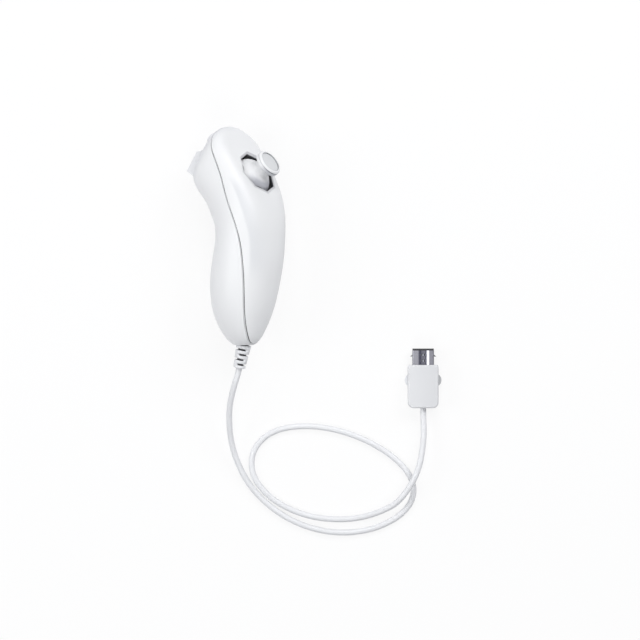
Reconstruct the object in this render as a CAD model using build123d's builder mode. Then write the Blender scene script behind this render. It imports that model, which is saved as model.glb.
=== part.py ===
"""Wired motion controller wand with a thumbstick, two front buttons, a cord and a latching plug.

The wand is drawn along its own length: X across, Y from the cord end to the nose, Z from the belly
to the stick side. It is then laid on its flank on the table, with the cord and the plug beside it.
Lengths are millimetres and angles are degrees.
"""

import os
from math import cos, pi, radians, sin, sqrt, tan

from build123d import *

os.makedirs("parts", exist_ok=True)

# Wand body
body_length = 113.0
body_width = 38.6
body_depth = 37.4
grip_length = 58.0
neck_centre_drop = 41.4
head_reach = 64.0
head_turn = 61.3
wall = 1.8
seam_groove_width = 0.8
seam_groove_depth = 0.7
seam_lip_height = 1.4
fit_clearance = 0.1
running_clearance = 0.05
overrun = 5.0

# Sections across the grip: how far along, belly, back, half width, where it is widest, and how
# full the back and the belly corners are.
grip_section_shares = (
    (0.000, -0.128, 0.128, 0.127, 0.500, 0.55, 0.55),
    (0.059, -0.241, 0.230, 0.233, 0.511, 0.55, 0.55),
    (0.155, -0.337, 0.305, 0.324, 0.513, 0.55, 0.55),
    (0.310, -0.428, 0.396, 0.420, 0.519, 0.55, 0.55),
    (0.530, -0.455, 0.479, 0.482, 0.530, 0.55, 0.56),
    (0.741, -0.417, 0.540, 0.495, 0.520, 0.56, 0.56),
    (0.931, -0.353, 0.545, 0.495, 0.512, 0.62, 0.57),
)
# Sections that turn about the neck's centre: turn, neck and back reach, then as above.
head_section_shares = (
    (0.131, 0.436, 0.953, 0.492, 0.56, 0.72, 0.60),
    (0.277, 0.428, 0.941, 0.492, 0.58, 0.82, 0.64),
    (0.440, 0.431, 0.925, 0.495, 0.60, 0.92, 0.68),
    (0.604, 0.434, 0.928, 0.500, 0.60, 0.96, 0.72),
    (0.750, 0.444, 0.947, 0.497, 0.58, 0.96, 0.76),
    (0.865, 0.464, 0.978, 0.472, 0.54, 0.90, 0.78),
    (0.930, 0.480, 0.997, 0.412, 0.49, 0.78, 0.80),
    (0.971, 0.488, 0.987, 0.334, 0.46, 0.66, 0.83),
    (1.000, 0.512, 0.966, 0.285, 0.46, 0.62, 0.80),
)
# Where the shells part, seen from the side: along the body, and above its long axis.
seam_shares = (
    (0.000, 0.150), (0.033, 0.178), (0.080, 0.203), (0.161, 0.243), (0.297, 0.289),
    (0.400, 0.289), (0.501, 0.249), (0.599, 0.147), (0.691, 0.040), (0.756, -0.016),
    (0.812, -0.083), (0.865, -0.158), (0.896, -0.203), (0.935, -0.251), (0.973, -0.326),
)
seam_start_share = (-0.035, 0.115)
seam_end_share = (1.027, -0.455)

# Thumbstick opening, and the point that the stick tilts about
opening_radius = 11.4
opening_along = 88.4
opening_height = 8.2
opening_bevel = 1.6
stick_tilt = 33.5
pivot_depth = 8.0
collar_wall = 1.5
collar_depth = 1.0

# Thumbstick
stick_cap_radius = 7.1
stick_cap_thickness = 3.5
stick_cap_above = 10.3
stick_dish_radius = 5.6
stick_dish_depth = 0.5
stick_rim_round = 0.9
stick_neck_radius = 4.7
stick_neck_round = 2.4
skirt_radius = 11.8
skirt_wall = 0.8
skirt_spread = 62.0
stem_radius = 1.6
stem_hub_radius = 2.6
stem_hub_height = 2.0
stem_length = 14.6
stem_foot_reach = 4.4
stem_foot_radius = 2.4
stem_sleeve_wall = 1.6
stem_sleeve_start = 8.6
gimbal_pin_radius = 0.9

# Rockers under the stick
inner_rocker_radius = 4.8
inner_rocker_wall = 1.2
outer_rocker_radius = 7.0
outer_rocker_wall = 1.1
rocker_width = 5.8
rocker_ring_height = 3.2
rocker_slot_gap = 0.2
inner_slot_half_length = 3.4
outer_slot_half_length = 4.0
rocker_cheek_radius = 2.2
journal_radius = 1.2

# Stick housing, dome and springs
housing_width = 17.2
housing_wall = 1.3
housing_top = -2.6
housing_bottom = -10.5
bearing_half_width = 3.0
bearing_top = 2.2
lug_across = 13.6
lug_along = 7.0
lug_radius = 2.3
lug_thickness = 1.6
base_thickness = 0.6
dome_radius = 10.6
dome_wall = 0.8
dome_mouth = 44.0
dome_flange_inner = 7.8
dome_flange_thickness = 0.6
sensor_thickness = 2.8
sensor_half_width = 3.9
sensor_height = 6.5
sensor_crown_radius = 1.9
sensor_journal_reach = 1.0
spring_wire_radius = 0.25
spring_radius = 2.6
spring_turns = 4
seat_radius = 4.0
seat_rim_height = -4.0
seat_bottom = -5.7
seat_gap = 0.1

# Screws
screw_radius = 0.9
screw_head_radius = 1.7
screw_head_height = 1.1
screw_drive_radius = 0.8
screw_drive_width = 0.45
screw_drive_depth = 0.6
stick_screw_length = 5.0
board_screw_length = 4.0
shell_screw_length = 8.0
shell_screw_alongs = (21.0, 62.0)
shell_screw_plane = 4.0
shell_column_radius = 3.2
shell_boss_radius = 2.6
shell_screw_grip = 3.0

# Front buttons, measured on the front face from its centre
face_centre_reach = 47.2
upper_button_up = 6.2
upper_button_half_width = 5.7
upper_button_half_height = 3.7
upper_button_proud = 4.1
upper_button_flange = 0.9
upper_button_flange_thickness = 1.2
upper_button_round = 1.2
trigger_half_width = 8.1
trigger_top = -0.3
trigger_bottom = -15.1
trigger_foot_slope = 1.2
trigger_crown = 5.2
trigger_toe = 5.9
trigger_slope_start = 2.6
trigger_slope_run = 2.6
trigger_wall = 1.5
trigger_inside = 3.2
trigger_round = 1.0
trigger_side_gap = 0.3
trigger_foot_gap = 0.6
trigger_opening_depth = 6.0
trigger_lip = 1.2
trigger_lip_thickness = 1.2
trigger_lip_ends = (-10.5, -3.0)
trigger_pin_up = 0.3
trigger_pin_depth = 3.4
trigger_pin_radius = 0.8
trigger_eye_radius = 1.4
trigger_plunger_up = -7.2
trigger_plunger_radius = 2.0
pin_lug_thickness = 1.7
pin_lug_gap = 0.4
pin_lug_radius = 1.8

# Button board and its rubber pad
pad_depth = 6.8
pad_thickness = 0.8
pad_dome_radius = 3.0
pad_dome_top_radius = 1.7
pad_dome_wall = 0.5
pad_dome_gap = 0.3
button_board_width = 27.2
button_board_height = 20.0
button_board_middle = -0.5
button_post_places = ((8.4, 7.3), (12.0, -6.0))
button_post_radius = 1.6
board_thickness = 1.2

# Main board in the grip
board_width = 22.0
board_start = 28.0
board_end = 54.0
board_top = 0.0
board_post_across = 8.0
board_post_alongs = (37.5, 46.5)
board_post_radius = 2.0
chip_width = 7.0
chip_height = 1.1
chip_along = 41.0
motion_chip_width = 5.0
motion_chip_height = 1.4
motion_chip_along = 49.5
socket_width = 9.0
socket_length = 5.0
socket_height = 4.2
wire_plug_width = 6.6
wire_plug_length = 4.0
wire_plug_height = 2.6
wire_radius = 0.45
wire_pitch = 1.3
wire_count = 4
wire_bend = 4.0
wire_bypass = 6.0
ribbon_width = 4.0
ribbon_thickness = 0.3
ribbon_bend = 2.5
ribbon_across = 6.5
stick_ribbon_drop = 6.9
stick_ribbon_way = ((66.0, 5.0), (58.0, 2.0))
button_ribbon_way = ((74.5, -12.8), (62.5, -6.0))

# Strain relief and cord
relief_lean = 13.5
relief_drop = 0.1
relief_length = 12.0
relief_root_radius = 3.9
relief_tip_radius = 3.1
relief_neck_radius = 3.0
relief_flange_radius = 4.0
relief_flange_thickness = 1.3
relief_slot_pitch = 2.6
relief_slot_width = 1.1
relief_slot_depth = 1.4
relief_slot_count = 4
relief_slot_start = 1.7
cord_radius = 1.55
cord_lead = 3.0

# Plug, which lies flat on the table
plug_width = 15.9
plug_length = 22.4
plug_thickness = 9.5
plug_across = 96.6
plug_cord_end = -88.8
plug_wall = 1.3
plug_corner_radius = 3.0
plug_edge_round = 0.8
plug_end_radius = 1.0
rib_place = 9.0
rib_length = 3.0
shield_width = 11.2
shield_length = 8.4
shield_height = 6.6
shield_wall = 0.4
shield_round = 0.8
shield_inside = 4.6
shield_channel_width = 4.0
shield_channel_depth = 0.6
shield_window = 1.1
shield_window_places = (2.2, 5.2)
contact_nose = 1.0
contact_block_width = 4.4
contact_block_height = 3.6
contact_count = 3
contact_width = 0.7
contact_thickness = 0.25
contact_pitch = 1.3
contact_block_start = 6.0
latch_arm_width = 3.0
latch_arm_thickness = 1.1
latch_arm_inner = 3.9
latch_pin_back = 3.4
latch_pin_radius = 0.7
latch_eye_radius = 1.5
latch_button_place = 14.5
latch_button_length = 5.8
latch_button_height = 5.0
latch_button_proud = 1.5
latch_hook_place = 5.0
latch_hook_length = 1.4
latch_hook_proud = 1.2
latch_gap = 0.35
latch_spring_thickness = 0.3
latch_spring_lean = 0.8
latch_spring_span = (6.2, 12.5)

# How the wand lies: rolled onto its flank
lie_roll = 55.5

# The cord's way over the table, from the strain relief to the plug
cord_route = (
    (-1.2, -77.5, 20.9), (-4.2, -90.5, 14.5), (-2.5, -111.0, 5.2), (7.5, -131.5, 1.6),
    (25.5, -146.5, 1.6), (46.5, -153.7, 1.6), (67.5, -153.0, 1.6), (84.0, -145.8, 1.6),
    (92.0, -136.2, 1.6), (91.3, -125.0, 1.6), (82.5, -114.8, 1.6), (69.0, -106.2, 1.6),
    (54.0, -100.4, 1.6), (36.5, -97.6, 1.6), (19.0, -100.0, 1.6), (8.6, -109.3, 1.6),
    (7.2, -121.5, 1.6), (13.5, -132.0, 1.6), (24.5, -140.3, 1.6), (41.0, -146.2, 1.6),
    (62.0, -146.8, 1.6), (80.5, -140.3, 5.0), (87.5, -133.0, 8.4), (94.5, -121.0, 8.4),
    (97.2, -104.0, 5.8),
)

# Shares of one size that another follows
embed_share = 0.5
lip_share = 0.55
hole_share = 0.6
cord_bend_share = 0.45

# Frames of the wand
tilt = radians(stick_tilt)
stick_axis = Vector(0, sin(tilt), cos(tilt))
opening_centre = Vector(0, opening_along, opening_height)
pivot = opening_centre - stick_axis * pivot_depth
stick_frame = Plane(origin=pivot, x_dir=(1, 0, 0), z_dir=stick_axis)
stick_side = Plane(origin=pivot, x_dir=(1, 0, 0), z_dir=-stick_frame.y_dir)
stick_end = Plane(origin=pivot, x_dir=stick_frame.y_dir, z_dir=(1, 0, 0))

turn = radians(head_turn)
face_up = Vector(0, sin(turn), cos(turn))
face_out = Vector(0, cos(turn), -sin(turn))
neck_centre = Vector(0, grip_length, -neck_centre_drop)
front_face = Plane(
    origin=neck_centre + face_up * face_centre_reach, x_dir=(-1, 0, 0), z_dir=face_out
)
face_side = Plane(origin=front_face.origin, x_dir=face_up, z_dir=(-1, 0, 0))


def body_section(origin, lean, height, half_width, widest, back_full, belly_full, inset):
    """One closed section of the body, inset by a wall, on a plane that leans towards the nose."""
    section_plane = Plane(
        origin=origin, x_dir=(1, 0, 0), z_dir=(0, -cos(radians(lean)), sin(radians(lean)))
    )
    low, middle, high = inset, widest * height, height - inset
    side = half_width - inset
    with BuildSketch(section_plane) as section:
        with BuildLine():
            for across in (side, -side):
                Bezier(
                    (across, middle),
                    (across, middle + back_full * (high - middle)),
                    (back_full * across, high),
                    (0, high),
                )
                Bezier(
                    (across, middle),
                    (across, middle - belly_full * (middle - low)),
                    (belly_full * across, low),
                    (0, low),
                )
        make_face()
    return section.sketch


def body_form(inset):
    """The whole body's form, from the cord end to the front face, inset all round."""
    with BuildPart() as form:
        for along, belly, back, half_width, *shape in grip_section_shares:
            add(
                body_section(
                    (0, along * grip_length, belly * body_depth),
                    0,
                    (back - belly) * body_depth,
                    half_width * body_width,
                    *shape,
                    inset,
                )
            )
        for turned, near, far, half_width, *shape in head_section_shares:
            lean = turned * head_turn
            reach = near * head_reach
            add(
                body_section(
                    neck_centre
                    + Vector(0, sin(radians(lean)), cos(radians(lean))) * reach,
                    lean,
                    (far - near) * head_reach,
                    half_width * body_width,
                    *shape,
                    inset,
                )
            )
        loft()
    return form.part


def closed_ends(form, inset):
    """A form cut short of the cord end and the front face by an end wall."""
    with BuildPart() as trimmed:
        add(form)
        split(bisect_by=Plane.XZ.offset(-inset), keep=Keep.BOTTOM)
        split(bisect_by=front_face.offset(-inset), keep=Keep.BOTTOM)
    return trimmed.part


def seam_line(rise):
    """The points of the parting line, seen from the side and raised a little."""
    shares = (seam_start_share, *seam_shares, seam_end_share)
    return [(along * body_length, above * body_depth + rise) for along, above in shares]


def beside_seam(rise, edge):
    """Everything between the raised parting line and a level above or below it."""
    points = seam_line(rise)
    with BuildPart() as region:
        with BuildSketch(Plane.YZ):
            with BuildLine():
                Spline(*points)
                Polyline(points[-1], (points[-1][0], edge), (points[0][0], edge), points[0])
            make_face()
        extrude(amount=body_width, both=True)
    return region.part


def seam_band(low, high):
    """A band that follows the parting line, from one rise to another."""
    lower, upper = seam_line(low), seam_line(high)
    with BuildPart() as band:
        with BuildSketch(Plane.YZ):
            with BuildLine():
                Spline(*lower)
                Line(lower[-1], upper[-1])
                Spline(*upper)
                Line(upper[0], lower[0])
            make_face()
        extrude(amount=body_width, both=True)
    return band.part


def screw(plane, length):
    """A cross-head screw whose head stands on the plane and whose shank goes under it."""
    with BuildPart() as made:
        with BuildSketch(plane):
            Circle(screw_head_radius)
        extrude(amount=screw_head_height)
        with BuildSketch(plane):
            Circle(screw_radius)
        extrude(amount=-length)
        with BuildSketch(plane.offset(screw_head_height)):
            Rectangle(2 * screw_drive_radius, screw_drive_width)
            Rectangle(screw_drive_width, 2 * screw_drive_radius)
        extrude(amount=-screw_drive_depth, mode=Mode.SUBTRACT)
    return made.part


def on_plane(plane, across, up, out=0):
    """A plane parallel to the given one, moved by local distances."""
    return Plane(
        origin=plane.from_local_coords((across, up, out)), x_dir=plane.x_dir, z_dir=plane.z_dir
    )


def mirrored_places(places):
    """Places on both sides of the middle."""
    return [(side * across, up) for across, up in places for side in (1, -1)]


outer_form = body_form(0)
embed_form = body_form(wall * embed_share)
cavity_form = closed_ends(body_form(wall), wall)
lip_outer_form = closed_ends(body_form(wall * lip_share), wall * lip_share)
lip_room_form = closed_ends(body_form(wall * embed_share), wall * embed_share)

with BuildPart() as shell_wall:
    add(outer_form)
    add(cavity_form, mode=Mode.SUBTRACT)

with BuildPart() as seam_groove:
    add(outer_form)
    add(body_form(seam_groove_depth), mode=Mode.SUBTRACT)
    add(seam_band(-seam_groove_width / 2, seam_groove_width / 2), mode=Mode.INTERSECT)

with BuildPart() as seam_lip:
    add(lip_outer_form)
    add(cavity_form, mode=Mode.SUBTRACT)
    add(seam_band(0, seam_lip_height), mode=Mode.INTERSECT)

with BuildPart() as seam_lip_room:
    add(lip_room_form)
    add(cavity_form, mode=Mode.SUBTRACT)
    add(seam_band(-fit_clearance, seam_lip_height + fit_clearance), mode=Mode.INTERSECT)

# Top shell
lug_places = mirrored_places(((lug_across, lug_along), (lug_across, -lug_along)))

with BuildPart() as stick_bosses:
    with BuildSketch(stick_frame.offset(housing_top)):
        with Locations(*lug_places):
            Circle(lug_radius)
    extrude(amount=pivot_depth + body_depth / 2)
    add(embed_form, mode=Mode.INTERSECT)

with BuildPart() as shell_bosses:
    with BuildSketch(Plane.XY.offset(shell_screw_plane)):
        with Locations(*[(0, along) for along in shell_screw_alongs]):
            Circle(shell_boss_radius)
    extrude(amount=body_depth)
    add(embed_form, mode=Mode.INTERSECT)

with BuildPart() as top_shell:
    add(shell_wall.part)
    add(beside_seam(0, body_depth), mode=Mode.INTERSECT)
    add(seam_groove.part, mode=Mode.SUBTRACT)
    add(seam_lip_room.part, mode=Mode.SUBTRACT)
    add(stick_bosses.part)
    add(shell_bosses.part)
    with BuildSketch(stick_frame.offset(pivot_depth - collar_depth)):
        RegularPolygon(opening_radius + collar_wall, 8)
    extrude(amount=collar_depth)
    with BuildSketch(stick_frame.offset(pivot_depth - 2 * collar_depth)):
        RegularPolygon(opening_radius, 8)
    extrude(amount=2 * (collar_depth + opening_bevel), mode=Mode.SUBTRACT)
    with BuildSketch(stick_frame.offset(pivot_depth)):
        RegularPolygon(opening_radius, 8)
    extrude(amount=2 * opening_bevel, taper=-45, mode=Mode.SUBTRACT)
    with BuildSketch(stick_frame.offset(housing_top)):
        with Locations(*lug_places):
            Circle(screw_radius + running_clearance)
    extrude(amount=stick_screw_length, mode=Mode.SUBTRACT)
    with BuildSketch(Plane.XY.offset(shell_screw_plane)):
        with Locations(*[(0, along) for along in shell_screw_alongs]):
            Circle(screw_radius + running_clearance)
    extrude(amount=shell_screw_length, mode=Mode.SUBTRACT)

# Bottom shell
shell_screw_places = [(0, along) for along in shell_screw_alongs]
board_post_places = [
    (side * board_post_across, along) for along in board_post_alongs for side in (1, -1)
]
button_post_all = mirrored_places(button_post_places)
button_board_depth = pad_depth + pad_thickness
relief_centre = (0, -relief_drop)

with BuildPart() as screw_columns:
    with BuildSketch(Plane.XY.offset(shell_screw_plane)):
        with Locations(*shell_screw_places):
            Circle(shell_column_radius)
    extrude(amount=-body_depth)
    with BuildSketch(Plane.XY.offset(board_top - board_thickness)):
        with Locations(*board_post_places):
            Circle(board_post_radius)
    extrude(amount=-body_depth)
    add(embed_form, mode=Mode.INTERSECT)

with BuildPart() as face_posts:
    with BuildSketch(front_face.offset(-button_board_depth)):
        with Locations(*button_post_all):
            Circle(button_post_radius)
    extrude(amount=button_board_depth - wall * embed_share)
    for side in (1, -1):
        lug_middle = side * (trigger_half_width + pin_lug_gap + pin_lug_thickness / 2)
        with BuildSketch(face_side.offset(-lug_middle)):
            with Locations((trigger_pin_up, -trigger_pin_depth)):
                Circle(pin_lug_radius)
            with Locations((trigger_pin_up, -trigger_pin_depth / 2 - wall * embed_share / 2)):
                Rectangle(2 * pin_lug_radius, trigger_pin_depth - wall * embed_share)
        extrude(amount=pin_lug_thickness / 2, both=True)
    add(embed_form, mode=Mode.INTERSECT)

with BuildPart() as bottom_shell:
    add(shell_wall.part)
    add(beside_seam(0, -body_depth), mode=Mode.INTERSECT)
    add(seam_groove.part, mode=Mode.SUBTRACT)
    add(seam_lip.part)
    add(screw_columns.part)
    add(face_posts.part)
    with BuildSketch(Plane.XZ):
        with Locations(relief_centre):
            Circle(relief_neck_radius + fit_clearance)
    extrude(amount=overrun, both=True, mode=Mode.SUBTRACT)
    with BuildSketch(front_face):
        with Locations((0, upper_button_up)):
            Ellipse(
                upper_button_half_width + trigger_side_gap,
                upper_button_half_height + trigger_side_gap,
            )
    extrude(amount=-wall - seam_groove_depth, mode=Mode.SUBTRACT)
    with BuildSketch(front_face):
        foot = trigger_bottom - trigger_foot_gap
        head = trigger_top + trigger_foot_gap
        with Locations((0, (foot + head) / 2)):
            RectangleRounded(
                2 * (trigger_half_width + trigger_side_gap), head - foot, trigger_round
            )
    extrude(amount=-trigger_opening_depth, mode=Mode.SUBTRACT)
    with BuildSketch(front_face.offset(-button_board_depth)):
        with Locations(*button_post_all):
            Circle(screw_radius + running_clearance)
    extrude(amount=button_board_depth - 2 * wall, mode=Mode.SUBTRACT)
    with BuildSketch(face_side):
        with Locations((trigger_pin_up, -trigger_pin_depth)):
            Circle(trigger_pin_radius + running_clearance)
    pin_half_length = trigger_half_width + pin_lug_gap + pin_lug_thickness
    extrude(amount=pin_half_length, both=True, mode=Mode.SUBTRACT)
    with BuildSketch(Plane.XY.offset(shell_screw_plane - shell_screw_grip)):
        with Locations(*shell_screw_places):
            Circle(screw_head_radius + 2 * fit_clearance)
    extrude(amount=-body_depth, mode=Mode.SUBTRACT)
    with BuildSketch(Plane.XY.offset(shell_screw_plane)):
        with Locations(*shell_screw_places):
            Circle(screw_radius + 2 * fit_clearance)
    extrude(amount=-shell_screw_grip, mode=Mode.SUBTRACT)
    with BuildSketch(Plane.XY.offset(board_top - board_thickness)):
        with Locations(*board_post_places):
            Circle(screw_radius + running_clearance)
    extrude(amount=-board_screw_length, mode=Mode.SUBTRACT)

# Screws of the shells
shell_screws = [
    screw(
        Plane((across, along, shell_screw_plane - shell_screw_grip), (1, 0, 0), (0, 0, -1)),
        shell_screw_length,
    )
    for across, along in shell_screw_places
]

# Upper button
with BuildPart() as upper_button:
    with BuildSketch(front_face.offset(-wall - fit_clearance)):
        with Locations((0, upper_button_up)):
            Ellipse(upper_button_half_width, upper_button_half_height)
    extrude(amount=wall + fit_clearance + upper_button_proud)
    button_faces = upper_button.faces().sort_by(Axis(front_face.origin, face_out))
    fillet(button_faces[-1].edges(), upper_button_round)
    with BuildSketch(front_face.offset(-wall - fit_clearance)):
        with Locations((0, upper_button_up)):
            Ellipse(
                upper_button_half_width + upper_button_flange,
                upper_button_half_height + upper_button_flange,
            )
    extrude(amount=-upper_button_flange_thickness)

# Trigger
with BuildPart() as trigger_plan:
    with BuildSketch(front_face.offset(-trigger_inside)):
        with Locations((0, (trigger_top + trigger_bottom) / 2)):
            RectangleRounded(
                2 * trigger_half_width, trigger_top - trigger_bottom, trigger_round
            )
    extrude(amount=trigger_inside + trigger_toe + overrun)

with BuildPart() as trigger_hollow:
    with BuildSketch(face_side):
        with BuildLine():
            Polyline(
                (trigger_top - trigger_wall, -trigger_inside - overrun),
                (trigger_top - trigger_wall, trigger_slope_start - trigger_wall / 2),
                (trigger_top - trigger_slope_run - trigger_wall / 2, trigger_crown - trigger_wall),
                (trigger_bottom + trigger_foot_slope + trigger_wall, trigger_toe - trigger_wall),
                (trigger_bottom + trigger_wall, -trigger_inside - overrun),
                close=True,
            )
        make_face()
    extrude(amount=trigger_half_width - trigger_wall, both=True)

with BuildPart() as trigger:
    with BuildSketch(face_side):
        with BuildLine():
            Polyline(
                (trigger_top, -trigger_inside),
                (trigger_top, trigger_slope_start),
                (trigger_top - trigger_slope_run, trigger_crown),
                (trigger_bottom + trigger_foot_slope, trigger_toe),
                (trigger_bottom, -trigger_inside),
                close=True,
            )
        make_face()
    extrude(amount=trigger_half_width, both=True)
    add(trigger_plan.part, mode=Mode.INTERSECT)
    trigger_faces = trigger.faces().sort_by(Axis(front_face.origin, face_out))
    fillet(trigger_faces[-1].edges(), trigger_round * hole_share)
    add(trigger_hollow.part, mode=Mode.SUBTRACT)
    with BuildSketch(front_face.offset(-wall - 2 * fit_clearance)):
        lip_low, lip_high = trigger_lip_ends
        with Locations((0, (lip_low + lip_high) / 2)):
            Rectangle(2 * (trigger_half_width + trigger_lip), lip_high - lip_low)
            Rectangle(
                2 * (trigger_half_width - trigger_wall), lip_high - lip_low, mode=Mode.SUBTRACT
            )
    extrude(amount=-trigger_lip_thickness)
    for side in (1, -1):
        eye_middle = side * (trigger_half_width - trigger_wall / 2)
        with BuildSketch(face_side.offset(-eye_middle)):
            with Locations((trigger_pin_up, -trigger_pin_depth)):
                Circle(trigger_eye_radius)
            with Locations((trigger_pin_up - trigger_eye_radius, -trigger_pin_depth)):
                Rectangle(2 * trigger_eye_radius, 2 * trigger_eye_radius)
        extrude(amount=trigger_wall / 2, both=True)
    with BuildSketch(front_face.offset(-trigger_inside)):
        with Locations((0, trigger_plunger_up)):
            Circle(trigger_plunger_radius)
    extrude(amount=trigger_inside + trigger_crown - trigger_wall / 2)
    with BuildSketch(face_side):
        with Locations((trigger_pin_up, -trigger_pin_depth)):
            Circle(trigger_pin_radius + running_clearance)
    extrude(amount=trigger_half_width + trigger_lip, both=True, mode=Mode.SUBTRACT)

with BuildPart() as trigger_pin:
    with BuildSketch(face_side):
        with Locations((trigger_pin_up, -trigger_pin_depth)):
            Circle(trigger_pin_radius)
    extrude(amount=pin_half_length, both=True)

# Rubber pad with a dome under each button, its board and that board's screws
dome_places = (
    (upper_button_up, wall + fit_clearance + upper_button_flange_thickness + pad_dome_gap),
    (trigger_plunger_up, trigger_inside + pad_dome_gap),
)
pad_half_width = button_post_places[0][0] - button_post_radius - pad_dome_gap
button_board_low = button_board_middle - button_board_height / 2

with BuildPart() as button_pad:
    with BuildSketch(front_face.offset(-button_board_depth)):
        with Locations((0, button_board_middle)):
            RectangleRounded(2 * pad_half_width, button_board_height, pad_dome_top_radius)
    extrude(amount=pad_thickness)
    for up, top_depth in dome_places:
        dome_plane = on_plane(front_face, 0, up)
        dome_side = Plane(origin=dome_plane.origin, x_dir=(-1, 0, 0), z_dir=-face_up)
        with BuildSketch(dome_side):
            Polygon(
                (0, -pad_depth),
                (pad_dome_radius, -pad_depth),
                (pad_dome_top_radius, -top_depth),
                (0, -top_depth),
                align=None,
            )
        revolve(axis=Axis(dome_plane.origin, face_out))
    for up, top_depth in dome_places:
        dome_plane = on_plane(front_face, 0, up)
        dome_side = Plane(origin=dome_plane.origin, x_dir=(-1, 0, 0), z_dir=-face_up)
        with BuildSketch(dome_side):
            Polygon(
                (0, -button_board_depth),
                (pad_dome_radius - pad_dome_wall, -button_board_depth),
                (pad_dome_radius - pad_dome_wall, -pad_depth),
                (pad_dome_top_radius - pad_dome_wall, -top_depth - 3 * pad_dome_wall),
                (0, -top_depth - 3 * pad_dome_wall),
                align=None,
            )
        revolve(axis=Axis(dome_plane.origin, face_out), mode=Mode.SUBTRACT)

with BuildPart() as button_board:
    with BuildSketch(front_face.offset(-button_board_depth)):
        with Locations((0, button_board_middle)):
            RectangleRounded(button_board_width, button_board_height, button_post_radius)
        with Locations(*button_post_all):
            Circle(screw_radius + fit_clearance, mode=Mode.SUBTRACT)
    extrude(amount=-board_thickness)

board_back = front_face.offset(-button_board_depth - board_thickness)
button_screws = [
    screw(
        Plane(board_back.from_local_coords((across, up)), (1, 0, 0), -face_out),
        board_screw_length,
    )
    for across, up in button_post_all
]

# Main board, its chips, the wire socket and the screws
with BuildPart() as main_board:
    with BuildSketch(Plane.XY.offset(board_top)):
        with Locations((0, (board_start + board_end) / 2)):
            RectangleRounded(board_width, board_end - board_start, board_post_radius)
        with Locations(*board_post_places):
            Circle(screw_radius + fit_clearance, mode=Mode.SUBTRACT)
    extrude(amount=-board_thickness)

board_screws = [
    screw(Plane(origin=(across, along, board_top)), board_screw_length)
    for across, along in board_post_places
]

with BuildPart() as controller_chip:
    with BuildSketch(Plane.XY.offset(board_top)):
        with Locations((0, chip_along)):
            Rectangle(chip_width, chip_width)
    extrude(amount=chip_height)

with BuildPart() as motion_sensor_chip:
    with BuildSketch(Plane.XY.offset(board_top)):
        with Locations((0, motion_chip_along)):
            Rectangle(motion_chip_width, motion_chip_width)
    extrude(amount=motion_chip_height)

socket_middle = board_start + socket_length / 2
with BuildPart() as wire_socket:
    with BuildSketch(Plane.XY.offset(board_top)):
        with Locations((wire_bypass, socket_middle)):
            Rectangle(socket_width, socket_length)
    extrude(amount=socket_height)
    with BuildSketch(Plane.XZ.offset(-board_start)):
        with Locations((wire_bypass, board_top + socket_height / 2)):
            Rectangle(
                wire_plug_width + 2 * fit_clearance, wire_plug_height + 2 * fit_clearance
            )
    extrude(amount=-wire_plug_length, mode=Mode.SUBTRACT)

with BuildPart() as wire_plug:
    with BuildSketch(Plane.XZ.offset(-board_start)):
        with Locations((wire_bypass, board_top + socket_height / 2)):
            Rectangle(wire_plug_width, wire_plug_height)
    extrude(amount=-wire_plug_length)

# Wires from the cord to the socket, round the screw column
wire_ends = [(n - (wire_count - 1) / 2) * wire_pitch for n in range(wire_count)]
wire_start = wall + relief_flange_thickness
with BuildPart() as cord_wires:
    for aside in wire_ends:
        with BuildLine() as wire_path:
            FilletPolyline(
                (aside, wire_start, -relief_drop),
                (aside, wire_start + wire_bend, -relief_drop),
                (
                    wire_bypass + aside,
                    shell_screw_alongs[0] - wire_bend,
                    board_top + socket_height / 2,
                ),
                (wire_bypass + aside, board_start, board_top + socket_height / 2),
                radius=wire_bend,
            )
        with BuildSketch(Plane(origin=wire_path.line @ 0, z_dir=wire_path.line % 0)):
            Circle(wire_radius)
        sweep(path=wire_path.line)

# Ribbons from the stick and the button board to the main board
ribbon_landing = board_end - ribbon_width
with BuildPart() as stick_ribbon:
    leave = stick_frame.from_local_coords((ribbon_across, -housing_width / 2, -stick_ribbon_drop))
    above = board_top + ribbon_thickness / 2
    with BuildLine() as stick_ribbon_path:
        FilletPolyline(
            leave,
            leave - stick_frame.y_dir * ribbon_width,
            (ribbon_across, *stick_ribbon_way[0]),
            (ribbon_across, *stick_ribbon_way[1]),
            (ribbon_across, board_end + ribbon_bend, above),
            (ribbon_across, ribbon_landing, above),
            radius=ribbon_bend / 2,
        )
    with BuildSketch(Plane(origin=leave, x_dir=(1, 0, 0), z_dir=-stick_frame.y_dir)):
        Rectangle(ribbon_width, ribbon_thickness)
    sweep(path=stick_ribbon_path.line)

with BuildPart() as button_ribbon:
    beside = on_plane(
        front_face,
        ribbon_across,
        button_board_low + ribbon_width,
        -button_board_depth - board_thickness - ribbon_thickness / 2,
    ).origin
    below = board_top - board_thickness - ribbon_thickness / 2
    with BuildLine() as button_ribbon_path:
        FilletPolyline(
            beside,
            beside - face_up * 2 * ribbon_width,
            (-ribbon_across, *button_ribbon_way[0]),
            (-ribbon_across, *button_ribbon_way[1]),
            (-ribbon_across, board_end + ribbon_bend, below),
            (-ribbon_across, ribbon_landing, below),
            radius=ribbon_bend / 2,
        )
    with BuildSketch(Plane(origin=beside, x_dir=(1, 0, 0), z_dir=-face_up)):
        Rectangle(ribbon_width, ribbon_thickness)
    sweep(path=button_ribbon_path.line)

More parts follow.
